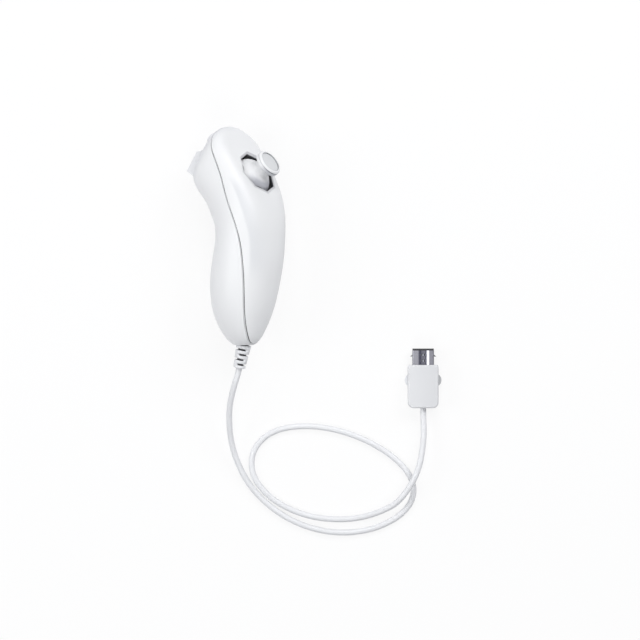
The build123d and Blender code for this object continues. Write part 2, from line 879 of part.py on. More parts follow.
# Stick housing, its base plate and its screws
housing_half = housing_width / 2
housing_inner = housing_width - 2 * housing_wall
wall_middle = housing_half - housing_wall / 2
with BuildPart() as stick_housing:
    with BuildSketch(stick_frame.offset(housing_bottom)):
        Rectangle(housing_width, housing_width)
        Rectangle(housing_inner, housing_inner, mode=Mode.SUBTRACT)
    extrude(amount=housing_top - housing_bottom)
    with BuildSketch(stick_frame.offset(housing_top)):
        with Locations((wall_middle, 0), (-wall_middle, 0)):
            Rectangle(housing_wall, 2 * bearing_half_width)
        with Locations((0, wall_middle), (0, -wall_middle)):
            Rectangle(2 * bearing_half_width, housing_wall)
    extrude(amount=bearing_top - housing_top)
    with BuildSketch(stick_frame.offset(housing_top)):
        with Locations((0, lug_along), (0, -lug_along)):
            SlotCenterToCenter(2 * lug_across, 2 * lug_radius)
        Rectangle(housing_inner, 2 * (lug_along + lug_radius), mode=Mode.SUBTRACT)
        with Locations(*lug_places):
            Circle(screw_radius + fit_clearance, mode=Mode.SUBTRACT)
    extrude(amount=-lug_thickness)
    with BuildSketch(stick_end):
        Circle(journal_radius + running_clearance)
    extrude(amount=housing_half, both=True, mode=Mode.SUBTRACT)
    with BuildSketch(stick_side):
        Circle(journal_radius + running_clearance)
    extrude(amount=housing_half, both=True, mode=Mode.SUBTRACT)

stick_screws = [
    screw(
        Plane(
            stick_frame.from_local_coords((across, along, housing_top - lug_thickness)),
            (1, 0, 0),
            -stick_axis,
        ),
        stick_screw_length,
    )
    for across, along in lug_places
]

tab_height = bearing_half_width
with BuildPart() as stick_base:
    with BuildSketch(stick_frame.offset(housing_bottom)):
        Rectangle(housing_width + 2 * base_thickness, housing_width)
    extrude(amount=-base_thickness)
    with BuildSketch(stick_frame.offset(housing_bottom)):
        for side in (1, -1):
            with Locations((side * (housing_half + base_thickness / 2), 0)):
                with GridLocations(0, housing_half, 1, 2):
                    Rectangle(base_thickness, bearing_half_width)
    extrude(amount=tab_height)


def sphere_point(radius, polar):
    """A point of a sphere about the pivot, as reach across the stick and height along it."""
    return (radius * sin(radians(polar)), radius * cos(radians(polar)))


def at_reach(radius, reach):
    """The point of a sphere at a given reach across the stick."""
    return (reach, sqrt(radius**2 - reach**2))


def at_height(radius, height):
    """The point of a sphere at a given height along the stick."""
    return (sqrt(radius**2 - height**2), height)


def sphere_arc(start, end):
    """The arc about the pivot from one point of a sphere to another."""
    radius = sqrt(start[0] ** 2 + start[1] ** 2)
    across, height = start[0] + end[0], start[1] + end[1]
    scale = radius / sqrt(across**2 + height**2)
    ThreePointArc(start, (across * scale, height * scale), end)


# Black dome that closes the housing round the stick
dome_inner_radius = dome_radius - dome_wall
with BuildPart() as gimbal_dome:
    with BuildSketch(stick_side):
        with BuildLine():
            outer_foot = at_height(dome_radius, bearing_top)
            inner_foot = at_height(dome_inner_radius, bearing_top + dome_flange_thickness)
            sphere_arc(sphere_point(dome_radius, dome_mouth), outer_foot)
            Polyline(
                outer_foot,
                (dome_flange_inner, bearing_top),
                (dome_flange_inner, bearing_top + dome_flange_thickness),
                inner_foot,
            )
            sphere_arc(inner_foot, sphere_point(dome_inner_radius, dome_mouth))
            Line(
                sphere_point(dome_inner_radius, dome_mouth),
                sphere_point(dome_radius, dome_mouth),
            )
        make_face()
    revolve(axis=Axis(pivot, stick_axis))

# Position sensors on two of the journals
with BuildPart() as side_sensor:
    with BuildSketch(stick_end.offset(housing_half)):
        with Locations((0, -sensor_height / 2)):
            Rectangle(2 * sensor_half_width, sensor_height)
        Circle(sensor_crown_radius)
    extrude(amount=sensor_thickness)
    with BuildSketch(stick_end.offset(housing_half)):
        Circle(journal_radius + running_clearance)
    extrude(amount=sensor_journal_reach + fit_clearance, mode=Mode.SUBTRACT)

with BuildPart() as rear_sensor:
    with BuildSketch(stick_side.offset(housing_half)):
        with Locations((0, -sensor_height / 2)):
            Rectangle(2 * sensor_half_width, sensor_height)
        Circle(sensor_crown_radius)
    extrude(amount=sensor_thickness)
    with BuildSketch(stick_side.offset(housing_half)):
        Circle(journal_radius + running_clearance)
    extrude(amount=sensor_journal_reach + fit_clearance, mode=Mode.SUBTRACT)

# Inner rocker, which carries the stick on a pin
stem_slot = stem_radius + rocker_slot_gap
inner_rocker_inside = inner_rocker_radius - inner_rocker_wall
with BuildPart() as inner_rocker:
    with BuildSketch(stick_frame):
        Circle(inner_rocker_radius)
        Circle(inner_rocker_inside, mode=Mode.SUBTRACT)
    extrude(amount=rocker_ring_height / 2, both=True)
    with BuildSketch(stick_side):
        Circle(inner_rocker_radius)
        Circle(inner_rocker_inside, mode=Mode.SUBTRACT)
        Rectangle(
            2 * inner_rocker_radius,
            inner_rocker_radius,
            align=(Align.CENTER, Align.MAX),
            mode=Mode.SUBTRACT,
        )
    extrude(amount=rocker_width / 2, both=True)
    with BuildSketch(stick_frame.offset(rocker_ring_height / 2)):
        Rectangle(2 * inner_slot_half_length, 2 * stem_slot)
    extrude(amount=inner_rocker_radius, mode=Mode.SUBTRACT)
    journal_start = inner_rocker_radius - inner_rocker_wall * embed_share
    with BuildSketch(stick_end.offset(journal_start)):
        Circle(journal_radius)
    extrude(amount=housing_half + sensor_journal_reach - journal_start)
    with BuildSketch(stick_end.offset(-journal_start)):
        Circle(journal_radius)
    extrude(amount=-(housing_half - journal_start))
    with BuildSketch(stick_side):
        Circle(gimbal_pin_radius + running_clearance)
    extrude(amount=inner_rocker_radius, both=True, mode=Mode.SUBTRACT)

with BuildPart() as gimbal_pin:
    with BuildSketch(stick_side):
        Circle(gimbal_pin_radius)
    extrude(amount=inner_rocker_radius, both=True)

# Outer rocker, which the stick turns through its slot
outer_rocker_inside = outer_rocker_radius - outer_rocker_wall
with BuildPart() as outer_rocker:
    with BuildSketch(stick_end):
        Circle(outer_rocker_radius)
        Circle(outer_rocker_inside, mode=Mode.SUBTRACT)
        Rectangle(
            2 * outer_rocker_radius,
            outer_rocker_radius,
            align=(Align.CENTER, Align.MAX),
            mode=Mode.SUBTRACT,
        )
    extrude(amount=rocker_width / 2, both=True)
    for side in (1, -1):
        with BuildSketch(stick_side.offset(side * outer_rocker_inside)):
            Circle(rocker_cheek_radius)
        extrude(amount=side * outer_rocker_wall)
    with BuildSketch(stick_frame.offset(outer_rocker_inside * hole_share)):
        Rectangle(2 * stem_slot, 2 * outer_slot_half_length)
    extrude(amount=outer_rocker_radius, mode=Mode.SUBTRACT)
    outer_start = outer_rocker_inside + outer_rocker_wall * embed_share
    with BuildSketch(stick_side.offset(outer_start)):
        Circle(journal_radius)
    extrude(amount=housing_half + sensor_journal_reach - outer_start)
    with BuildSketch(stick_side.offset(-outer_start)):
        Circle(journal_radius)
    extrude(amount=-(housing_half - outer_start))

# Stem
with BuildPart() as stick_stem:
    with BuildSketch(stick_side):
        with BuildLine():
            foot_edge = (stem_foot_radius, -at_reach(stem_foot_reach, stem_foot_radius)[1])
            Polyline(
                (0, -stem_foot_reach),
                (0, stem_length),
                (stem_radius, stem_length),
                (stem_radius, stem_hub_height),
                (stem_hub_radius, stem_hub_height),
                (stem_hub_radius, -stem_hub_height),
                (stem_foot_radius, -stem_hub_height),
                foot_edge,
            )
            sphere_arc(foot_edge, (0, -stem_foot_reach))
        make_face()
    revolve(axis=Axis(pivot, stick_axis))
    with BuildSketch(stick_side):
        Circle(gimbal_pin_radius + running_clearance)
    extrude(amount=stem_hub_radius, both=True, mode=Mode.SUBTRACT)

# Cap with its neck, its skirt over the dome and its sleeve on the stem
cap_top = pivot_depth + stick_cap_above
cap_underside = cap_top - stick_cap_thickness
sleeve_radius = stem_radius + stem_sleeve_wall
skirt_inner = skirt_radius - skirt_wall
with BuildPart() as stick_cap:
    with BuildSketch(stick_side):
        with BuildLine():
            sleeve_end = at_reach(skirt_inner, sleeve_radius)
            neck_foot = at_reach(skirt_radius, stick_neck_radius)
            bore = stem_radius + running_clearance
            Polyline(
                (0, stem_length),
                (bore, stem_length),
                (bore, stem_sleeve_start),
                (sleeve_radius, stem_sleeve_start),
                sleeve_end,
            )
            sphere_arc(sleeve_end, sphere_point(skirt_inner, skirt_spread))
            Line(
                sphere_point(skirt_inner, skirt_spread),
                sphere_point(skirt_radius, skirt_spread),
            )
            sphere_arc(sphere_point(skirt_radius, skirt_spread), neck_foot)
            Polyline(
                neck_foot,
                (stick_neck_radius, cap_underside),
                (stick_cap_radius, cap_underside),
                (stick_cap_radius, cap_top),
                (stick_dish_radius, cap_top),
                (stick_dish_radius, cap_top - stick_dish_depth),
                (0, cap_top - stick_dish_depth),
                (0, stem_length),
            )
        make_face()
    revolve(axis=Axis(pivot, stick_axis))
    round_edges = stick_cap.edges().filter_by(GeomType.CIRCLE)
    rim_edges = [
        edge for edge in round_edges if abs(edge.radius - stick_cap_radius) < running_clearance
    ]
    fillet(rim_edges, stick_rim_round)
    neck_edges = [
        edge
        for edge in stick_cap.edges().filter_by(GeomType.CIRCLE)
        if abs(edge.radius - stick_neck_radius) < running_clearance
        and (edge.arc_center - pivot).length < cap_underside - stick_rim_round
    ]
    fillet(neck_edges, stick_neck_round)

# Return spring and its seat under the stem's foot
with BuildPart() as stick_spring:
    with BuildLine() as spring_path:
        Helix(
            (seat_bottom - housing_bottom - 2 * spring_wire_radius) / spring_turns,
            seat_bottom - housing_bottom - 2 * spring_wire_radius,
            spring_radius,
            center=stick_frame.from_local_coords((0, 0, housing_bottom + spring_wire_radius)),
            direction=stick_axis,
        )
    with BuildSketch(Plane(origin=spring_path.line @ 0, z_dir=spring_path.line % 0)):
        Circle(spring_wire_radius)
    sweep(path=spring_path.line, is_frenet=True)

with BuildPart() as spring_seat:
    with BuildSketch(stick_side):
        with BuildLine():
            bowl_radius = stem_foot_reach + seat_gap
            bowl_edge = (at_height(bowl_radius, seat_rim_height)[0], seat_rim_height)
            Polyline(
                (0, -bowl_radius),
                (0, seat_bottom),
                (seat_radius, seat_bottom),
                (seat_radius, seat_rim_height),
                bowl_edge,
            )
            sphere_arc(bowl_edge, (0, -bowl_radius))
        make_face()
    revolve(axis=Axis(pivot, stick_axis))

# Strain relief, slotted from both sides in turn
relief_way = Vector(0, -cos(radians(relief_lean)), -sin(radians(relief_lean)))
relief_frame = Plane(origin=(0, 0, -relief_drop), x_dir=(1, 0, 0), z_dir=relief_way)
relief_inner_radius = relief_tip_radius - relief_slot_depth
with BuildPart() as strain_relief:
    with BuildSketch(relief_frame.offset(-relief_root_radius)):
        Circle(relief_root_radius)
    with BuildSketch(relief_frame):
        Circle(relief_root_radius)
    with BuildSketch(relief_frame.offset(relief_length)):
        Circle(relief_tip_radius)
    loft(ruled=True)
    split(bisect_by=Plane.XZ, keep=Keep.TOP)
    with BuildSketch(Plane.XZ):
        with Locations(relief_centre):
            Circle(relief_neck_radius)
    extrude(amount=-wall)
    with BuildSketch(Plane.XZ.offset(-wall)):
        with Locations(relief_centre):
            Circle(relief_flange_radius)
    extrude(amount=-relief_flange_thickness)
    for count in range(relief_slot_count):
        slot_place = relief_slot_start + count * relief_slot_pitch
        closed_side = 1 if count % 2 == 0 else -1
        slot_plane = relief_frame.offset(slot_place).rotated((0, 0, lie_roll))
        with BuildSketch(slot_plane):
            Circle(2 * relief_root_radius)
            Circle(relief_inner_radius, mode=Mode.SUBTRACT)
            with Locations((closed_side * relief_root_radius * embed_share, 0)):
                Rectangle(
                    2 * relief_root_radius,
                    4 * relief_root_radius,
                    align=(Align.MIN if closed_side > 0 else Align.MAX, Align.CENTER),
                    mode=Mode.SUBTRACT,
                )
        extrude(amount=relief_slot_width, mode=Mode.SUBTRACT)

# Plug, drawn where it lies
plug_frame = Plane(origin=(plug_across, plug_cord_end, 0))
plug_mid = plug_frame.offset(plug_thickness / 2)
plug_half = plug_width / 2
shield_start = plug_length - shield_inside
shield_end = plug_length + shield_length - contact_nose


def plug_block(inset, corner_radius, end_radius):
    """The plug's body, inset all round, with its own corners."""
    with BuildPart() as block:
        with BuildSketch(plug_frame.offset(inset)):
            with Locations((0, plug_length / 2)):
                Rectangle(plug_width - 2 * inset, plug_length - 2 * inset)
        extrude(amount=plug_thickness - 2 * inset)
        upright = block.edges().filter_by(Axis.Z).sort_by(Axis.Y)
        fillet(upright[:2], corner_radius)
        upright = block.edges().filter_by(Axis.Z).sort_by(Axis.Y)
        fillet(upright[-2:], end_radius)
    return block.part


with BuildPart() as plug_body:
    add(plug_block(0, plug_corner_radius, plug_end_radius))
    fillet(plug_body.faces().sort_by(Axis.Z)[-1].edges(), plug_edge_round)
    fillet(plug_body.faces().sort_by(Axis.Z)[0].edges(), plug_edge_round)
    add(plug_block(plug_wall, plug_corner_radius - plug_wall, fit_clearance), mode=Mode.SUBTRACT)
    with BuildSketch(plug_frame.offset(plug_wall)):
        with Locations((0, rib_place)):
            Rectangle(contact_block_width, rib_length)
    extrude(amount=plug_thickness - 2 * plug_wall)
    with BuildSketch(plug_mid.offset(-contact_block_height / 2)):
        with Locations((0, rib_place)):
            Rectangle(2 * contact_block_width, 2 * rib_length)
    extrude(amount=contact_block_height, mode=Mode.SUBTRACT)
    tongue_wall = Plane(
        origin=plug_mid.from_local_coords((0, plug_length)), x_dir=(-1, 0, 0), z_dir=(0, 1, 0)
    )
    with BuildSketch(tongue_wall):
        Rectangle(shield_width + 2 * fit_clearance, shield_height + 2 * fit_clearance)
    extrude(amount=-plug_wall, mode=Mode.SUBTRACT)
    with BuildSketch(tongue_wall.offset(-plug_length)):
        Circle(cord_radius + fit_clearance)
    extrude(amount=plug_wall, mode=Mode.SUBTRACT)
    with BuildSketch(plug_mid):
        with Locations((0, latch_button_place)):
            Rectangle(plug_width, latch_button_length + 2 * latch_gap)
    extrude(amount=latch_button_height / 2 + latch_gap, both=True, mode=Mode.SUBTRACT)

with BuildPart() as plug_front_cover:
    add(plug_body.part)
    split(bisect_by=plug_mid, keep=Keep.TOP)

with BuildPart() as plug_rear_cover:
    add(plug_body.part)
    split(bisect_by=plug_mid, keep=Keep.BOTTOM)

# Metal shield with a pressed channel, two windows and a slot for each hook
shield_half_height = shield_height / 2
with BuildPart() as plug_shield:
    with BuildSketch(tongue_wall.offset(-shield_inside)):
        RectangleRounded(shield_width, shield_height, shield_round)
        with Locations((0, shield_half_height)):
            Rectangle(shield_channel_width, 2 * shield_channel_depth, mode=Mode.SUBTRACT)
        with BuildSketch(mode=Mode.PRIVATE) as shield_bore:
            RectangleRounded(
                shield_width - 2 * shield_wall,
                shield_height - 2 * shield_wall,
                shield_round - shield_wall,
            )
            with Locations((0, shield_half_height - shield_wall)):
                Rectangle(
                    shield_channel_width + 2 * shield_wall,
                    2 * shield_channel_depth,
                    mode=Mode.SUBTRACT,
                )
        add(shield_bore.sketch, mode=Mode.SUBTRACT)
    extrude(amount=shield_inside + shield_length - contact_nose)
    with BuildSketch(plug_mid):
        for place in shield_window_places:
            with Locations((0, plug_length + place)):
                Rectangle(shield_channel_width * hole_share, shield_window)
    extrude(amount=shield_height, mode=Mode.SUBTRACT)
    with BuildSketch(plug_mid):
        with Locations((0, plug_length + latch_hook_place)):
            Rectangle(2 * shield_width, latch_hook_length + 2 * latch_gap)
    extrude(amount=latch_arm_width / 2 + latch_gap, both=True, mode=Mode.SUBTRACT)

# Contact block with its nose across the shield's mouth, and the contacts on it
with BuildPart() as contact_block:
    with BuildSketch(plug_mid.offset(-contact_block_height / 2)):
        with Locations((0, (contact_block_start + shield_end) / 2)):
            Rectangle(contact_block_width, shield_end - contact_block_start)
    extrude(amount=contact_block_height)
    with BuildSketch(tongue_wall.offset(shield_length - contact_nose)):
        RectangleRounded(
            shield_width - 2 * fit_clearance, shield_height - 2 * fit_clearance, shield_round
        )
        with Locations((0, shield_half_height)):
            Rectangle(shield_channel_width, 2 * shield_channel_depth, mode=Mode.SUBTRACT)
    extrude(amount=contact_nose)

with BuildPart() as plug_contacts:
    with BuildSketch(plug_mid.offset(contact_block_height / 2)):
        with Locations((0, (shield_start + shield_end) / 2)):
            with GridLocations(contact_pitch, 0, contact_count, 1):
                Rectangle(contact_width, shield_end - shield_start)
    extrude(amount=contact_thickness)

# Latches, each on its own pin, with a leaf spring
latch_pin_across = latch_arm_inner + latch_arm_thickness / 2
hook_end = plug_length + latch_hook_place + latch_hook_length / 2


def latch(side):
    """A latch arm with its eye, its side button and its hook."""
    outer = side * (latch_arm_inner + latch_arm_thickness)
    button_low = latch_button_place - latch_button_length / 2
    button_high = latch_button_place + latch_button_length / 2
    with BuildPart() as made:
        with BuildSketch(plug_mid):
            with Locations(
                (side * latch_pin_across, (latch_pin_back + hook_end) / 2),
            ):
                Rectangle(latch_arm_thickness, hook_end - latch_pin_back)
            with Locations((side * latch_pin_across, latch_pin_back)):
                Circle(latch_eye_radius)
            with BuildLine():
                Polyline(
                    (outer, hook_end),
                    (side * (shield_width / 2 + latch_hook_proud), hook_end - latch_hook_length),
                    (outer, hook_end - latch_hook_length),
                    close=True,
                )
            make_face()
        extrude(amount=latch_arm_width / 2, both=True)
        with BuildSketch(plug_mid):
            with BuildLine():
                Polyline(
                    (side * plug_half, button_low),
                    (outer, button_low),
                    (outer, button_high),
                    (side * plug_half, button_high),
                )
                ThreePointArc(
                    (side * plug_half, button_high),
                    (side * (plug_half + latch_button_proud), latch_button_place),
                    (side * plug_half, button_low),
                )
            make_face()
        extrude(amount=latch_button_height / 2, both=True)
        with BuildSketch(plug_mid):
            with Locations((side * latch_pin_across, latch_pin_back)):
                Circle(latch_pin_radius + running_clearance)
        extrude(amount=latch_arm_width / 2, both=True, mode=Mode.SUBTRACT)
    return made.part


def latch_pin(side):
    """The pin between the covers that a latch turns on."""
    with BuildPart() as made:
        with BuildSketch(plug_frame.offset(plug_wall)):
            with Locations((side * latch_pin_across, latch_pin_back)):
                Circle(latch_pin_radius)
        extrude(amount=plug_thickness - 2 * plug_wall)
    return made.part


def latch_spring(side):
    """The leaf on a latch arm that leans against the contact block."""
    foot, tip = latch_spring_span
    with BuildPart() as made:
        with BuildSketch(plug_mid):
            with BuildLine():
                Polyline(
                    (side * latch_arm_inner, foot),
                    (side * latch_arm_inner, foot + latch_arm_thickness),
                    (side * (latch_arm_inner - latch_spring_lean), tip),
                    (side * (latch_arm_inner - latch_spring_lean - latch_spring_thickness), tip),
                    close=True,
                )
            make_face()
        extrude(amount=latch_arm_width / 2 - running_clearance, both=True)
    return made.part


# Where the wand lies: rolled over, centred, and lowered to the table
rolled = Location((0, 0, 0), (0, lie_roll, 0))

wand_pieces = {
    "top_shell": top_shell.part,
    "bottom_shell": bottom_shell.part,
    "upper_button": upper_button.part,
    "trigger": trigger.part,
    "trigger_pin": trigger_pin.part,
    "button_pad": button_pad.part,
    "button_board": button_board.part,
    "main_board": main_board.part,
    "controller_chip": controller_chip.part,
    "motion_sensor_chip": motion_sensor_chip.part,
    "wire_socket": wire_socket.part,
    "wire_plug": wire_plug.part,
    "cord_wires": cord_wires.part,
    "stick_ribbon": stick_ribbon.part,
    "button_ribbon": button_ribbon.part,
    "stick_housing": stick_housing.part,
    "stick_base": stick_base.part,
    "gimbal_dome": gimbal_dome.part,
    "side_sensor": side_sensor.part,
    "rear_sensor": rear_sensor.part,
    "inner_rocker": inner_rocker.part,
    "gimbal_pin": gimbal_pin.part,
    "outer_rocker": outer_rocker.part,
    "stick_stem": stick_stem.part,
    "stick_cap": stick_cap.part,
    "stick_spring": stick_spring.part,
    "spring_seat": spring_seat.part,
}
screw_sets = {
    "shell_screw": shell_screws,
    "button_screw": button_screws,
    "board_screw": board_screws,
    "stick_screw": stick_screws,
}
for kind, screws in screw_sets.items():
    for number, piece in enumerate(screws, start=1):
        wand_pieces[f"{kind}_{number}"] = piece

rolled_boxes = [piece.moved(rolled).bounding_box() for piece in wand_pieces.values()]
low_x, high_x = min(box.min.X for box in rolled_boxes), max(box.max.X for box in rolled_boxes)
low_y, high_y = min(box.min.Y for box in rolled_boxes), max(box.max.Y for box in rolled_boxes)
low_z = min(box.min.Z for box in rolled_boxes)
lie = Location((-(low_x + high_x) / 2, -(low_y + high_y) / 2, -low_z)) * rolled
wand_pieces["strain_relief"] = strain_relief.part

# Cord from the strain relief over the table to the plug
relief_tip = lie * Location(relief_frame.from_local_coords((0, 0, relief_length)))
relief_lead = lie * Location(relief_frame.from_local_coords((0, 0, relief_length + cord_lead)))
plug_entry = plug_mid.from_local_coords((0, -cord_lead))
plug_inside = plug_mid.from_local_coords((0, contact_block_start))
cord_points = [
    Vector(*point)
    for point in (
        relief_tip.position, relief_lead.position, *cord_route, plug_entry, plug_inside
    )
]
cord_bends = []
for before, here, after in zip(cord_points, cord_points[1:], cord_points[2:]):
    run_in, run_out = here - before, after - here
    bend = radians(run_in.get_angle(run_out))
    shorter = min(run_in.length, run_out.length)
    cord_bends.append(cord_bend_share * shorter / tan(bend / 2))

with BuildPart() as cord:
    with BuildLine() as cord_path:
        FilletPolyline(*cord_points, radius=cord_bends)
    with BuildSketch(Plane(origin=cord_path.line @ 0, z_dir=cord_path.line % 0)):
        Circle(cord_radius)
    sweep(path=cord_path.line)

table_pieces = {
    "cord": cord.part,
    "plug_front_cover": plug_front_cover.part,
    "plug_rear_cover": plug_rear_cover.part,
    "plug_shield": plug_shield.part,
    "contact_block": contact_block.part,
    "plug_contacts": plug_contacts.part,
    "latch_left": latch(-1),
    "latch_right": latch(1),
    "latch_pin_left": latch_pin(-1),
    "latch_pin_right": latch_pin(1),
    "latch_spring_left": latch_spring(-1),
    "latch_spring_right": latch_spring(1),
}

pieces = {name: piece.moved(lie) for name, piece in wand_pieces.items()} | table_pieces
for name, piece in pieces.items():
    piece.label = name
    export_step(piece, f"parts/{name}.step")
    if not piece.is_valid:
        print("not valid:", name)

cord_section = pi * cord_radius**2
cord_length = sum(edge.length for edge in cord_path.edges())
print("pieces", len(pieces))
print("cord radius", cord_radius, "smallest bend", round(min(cord_bends), 2))
print(
    "cord volume", round(cord.part.volume, 1),
    "section times length", round(cord_section * cord_length, 1),
    "length", round(cord_length, 1),
)
for name, point, direction in (
    ("stick pivot across", pivot, stick_frame.x_dir),
    ("stick pivot along", pivot, stick_frame.y_dir),
    ("trigger pin", on_plane(front_face, 0, trigger_pin_up, -trigger_pin_depth).origin,
     front_face.x_dir),
    ("upper button", on_plane(front_face, 0, upper_button_up).origin, face_out * -1),
    ("relief tip", relief_frame.from_local_coords((0, 0, relief_length)), relief_way),
):
    placed = lie * Location(point)
    ahead = lie * Location(point + direction)
    heading = ahead.position - placed.position
    print(name, [round(v, 4) for v in placed.position], [round(v, 6) for v in heading])
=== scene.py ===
"""Looks of the wired motion controller wand: finishes, finer forms, floor, light and camera."""

from math import cos, radians, sin

import bmesh
import bpy
from mathutils import Matrix, Vector


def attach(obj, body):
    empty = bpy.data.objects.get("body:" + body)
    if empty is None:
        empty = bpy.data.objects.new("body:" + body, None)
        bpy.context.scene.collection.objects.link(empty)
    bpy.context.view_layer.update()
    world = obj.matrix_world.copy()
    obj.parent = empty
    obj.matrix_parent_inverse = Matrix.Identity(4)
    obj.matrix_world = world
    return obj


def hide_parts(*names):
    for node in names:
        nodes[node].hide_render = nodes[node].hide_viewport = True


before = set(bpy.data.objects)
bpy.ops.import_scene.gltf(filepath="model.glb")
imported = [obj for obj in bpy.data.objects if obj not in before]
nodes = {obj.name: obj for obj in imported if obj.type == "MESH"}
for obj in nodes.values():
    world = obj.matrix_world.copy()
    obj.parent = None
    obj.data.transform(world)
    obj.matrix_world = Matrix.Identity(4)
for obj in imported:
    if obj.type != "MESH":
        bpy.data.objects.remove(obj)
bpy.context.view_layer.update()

MM = 0.001
SCALE_PX_PER_MM = 1.94
PICTURE_PX = 640
CORD_RADIUS = 1.55 * MM

# Camera: straight above, a long way off
VIEW_CENTRE = Vector((43.2, -43.2, 0.0)) * MM
FOCUS_HEIGHT = 18.0 * MM
CAMERA_HEIGHT = 2.8
SENSOR_WIDTH = 36.0

camera_data = bpy.data.cameras.new("camera")
camera_data.sensor_width = SENSOR_WIDTH
view_width = PICTURE_PX / SCALE_PX_PER_MM * MM
camera_data.lens = SENSOR_WIDTH * (CAMERA_HEIGHT - FOCUS_HEIGHT) / view_width
camera_data.clip_start = 0.01
camera = bpy.data.objects.new("camera", camera_data)
camera.location = VIEW_CENTRE + Vector((0, 0, CAMERA_HEIGHT))
bpy.context.scene.collection.objects.link(camera)
bpy.context.scene.camera = camera

# The cord's way, in millimetres: out of the strain relief, over the table, into the plug
CORD_ROUTE = (
    (1.674, -67.783, 23.031), (1.097, -70.700, 22.634),
    (-1.2, -77.5, 20.9), (-4.2, -90.5, 14.5), (-2.5, -111.0, 5.2), (7.5, -131.5, 1.6),
    (25.5, -146.5, 1.6), (46.5, -153.7, 1.6), (67.5, -153.0, 1.6), (84.0, -145.8, 1.6),
    (92.0, -136.2, 1.6), (91.3, -125.0, 1.6), (82.5, -114.8, 1.6), (69.0, -106.2, 1.6),
    (54.0, -100.4, 1.6), (36.5, -97.6, 1.6), (19.0, -100.0, 1.6), (8.6, -109.3, 1.6),
    (7.2, -121.5, 1.6), (13.5, -132.0, 1.6), (24.5, -140.3, 1.6), (41.0, -146.2, 1.6),
    (62.0, -146.8, 1.6), (80.5, -140.3, 5.0), (87.5, -133.0, 8.4), (94.5, -121.0, 8.4),
    (97.2, -104.0, 5.8),
    (96.6, -91.8, 4.75), (96.6, -82.8, 4.75),
)

# The wand's own frame, as it lies on the table, and the stick's frame in it
WAND_ROLL = radians(55.5)
WAND_PLACE = Vector((4.065, -56.115, 24.674)) * MM
WAND = Matrix.Translation(WAND_PLACE) @ Matrix.Rotation(WAND_ROLL, 4, "Y")
BODY_LENGTH = 113.0 * MM
BODY_DEPTH = 37.4 * MM
STICK_TILT = radians(33.5)
PIVOT_DEPTH = 8.0 * MM
OPENING_CENTRE = Vector((0.0, 88.4, 8.2)) * MM
STICK_FRAME = (
    WAND @ Matrix.Translation(OPENING_CENTRE) @ Matrix.Rotation(-STICK_TILT, 4, "X")
    @ Matrix.Translation((0, 0, -PIVOT_DEPTH))
)

# Where the shells part, and the soft crease above it: along the body, and above its long axis;
# painted shade lies in the parting line and along the crease
SEAM_SHARES = (
    (0.000, 0.150), (0.033, 0.178), (0.080, 0.203), (0.161, 0.243), (0.297, 0.289),
    (0.400, 0.289), (0.501, 0.249), (0.599, 0.147), (0.691, 0.040), (0.756, -0.016),
    (0.812, -0.083), (0.865, -0.158), (0.896, -0.203), (0.935, -0.251), (0.973, -0.326),
)
SEAM_SHADE_LINE = 0.26 * MM
CREASE_SHARES = (
    (0.000, 0.30), (0.300, 0.35), (0.395, 0.377), (0.486, 0.380), (0.559, 0.345),
    (0.641, 0.270), (0.723, 0.160), (0.800, 0.020), (1.000, -0.200),
)
CREASE_SHADE_FADE_SHARES = (0.26, 0.42, 0.70, 0.78)
CREASE_SHADE_RUN = 7.0 * MM

# The flat front face with the two buttons
HEAD_TURN = radians(61.3)
FACE_CENTRE = Vector((0.0, 99.4, -18.7)) * MM
FACE_SHADE_RUN = (1.0 * MM, 8.0 * MM)

# The octagon round the stick with a painted dark edge, the painted shade lines on the stick's cap
# and the painted shade on its skirt
OPENING_RADIUS = 11.4 * MM
HALF_CORNER = radians(22.5)
OPENING_SHADE_LINE = 0.35 * MM
CAP_TOP = 18.3 * MM
CAP_THICKNESS = 3.5 * MM
CAP_SHADE_LINE_DOWN = 1.2 * MM
SKIRT_SHADOW = 8.9 * MM
SKIRT_SHADE_RUN = (9.0 * MM, 10.5 * MM)
NEAR_SIDE = radians(200.8)
DISH_RADIUS = 5.6 * MM

# The plug's middle, half width and front, and its metal tongue with the painted shade and painted
# reflection across it
PLUG_X = 96.6 * MM
PLUG_HALF = 8.0 * MM
PLUG_FRONT = -66.4 * MM
SHIELD_HALF = 5.5 * MM
TONGUE_SHADE_AND_GLINT_BANDS = (
    (0.0, 0.29), (0.05, 0.24), (0.24, 0.24), (0.31, 0.08), (0.36, 0.035), (0.44, 0.10),
    (0.58, 0.115), (0.65, 0.04), (0.68, 0.85), (0.76, 0.85), (0.79, 0.19), (1.0, 0.19),
)

NOISE_ROUGHNESS = 0.55


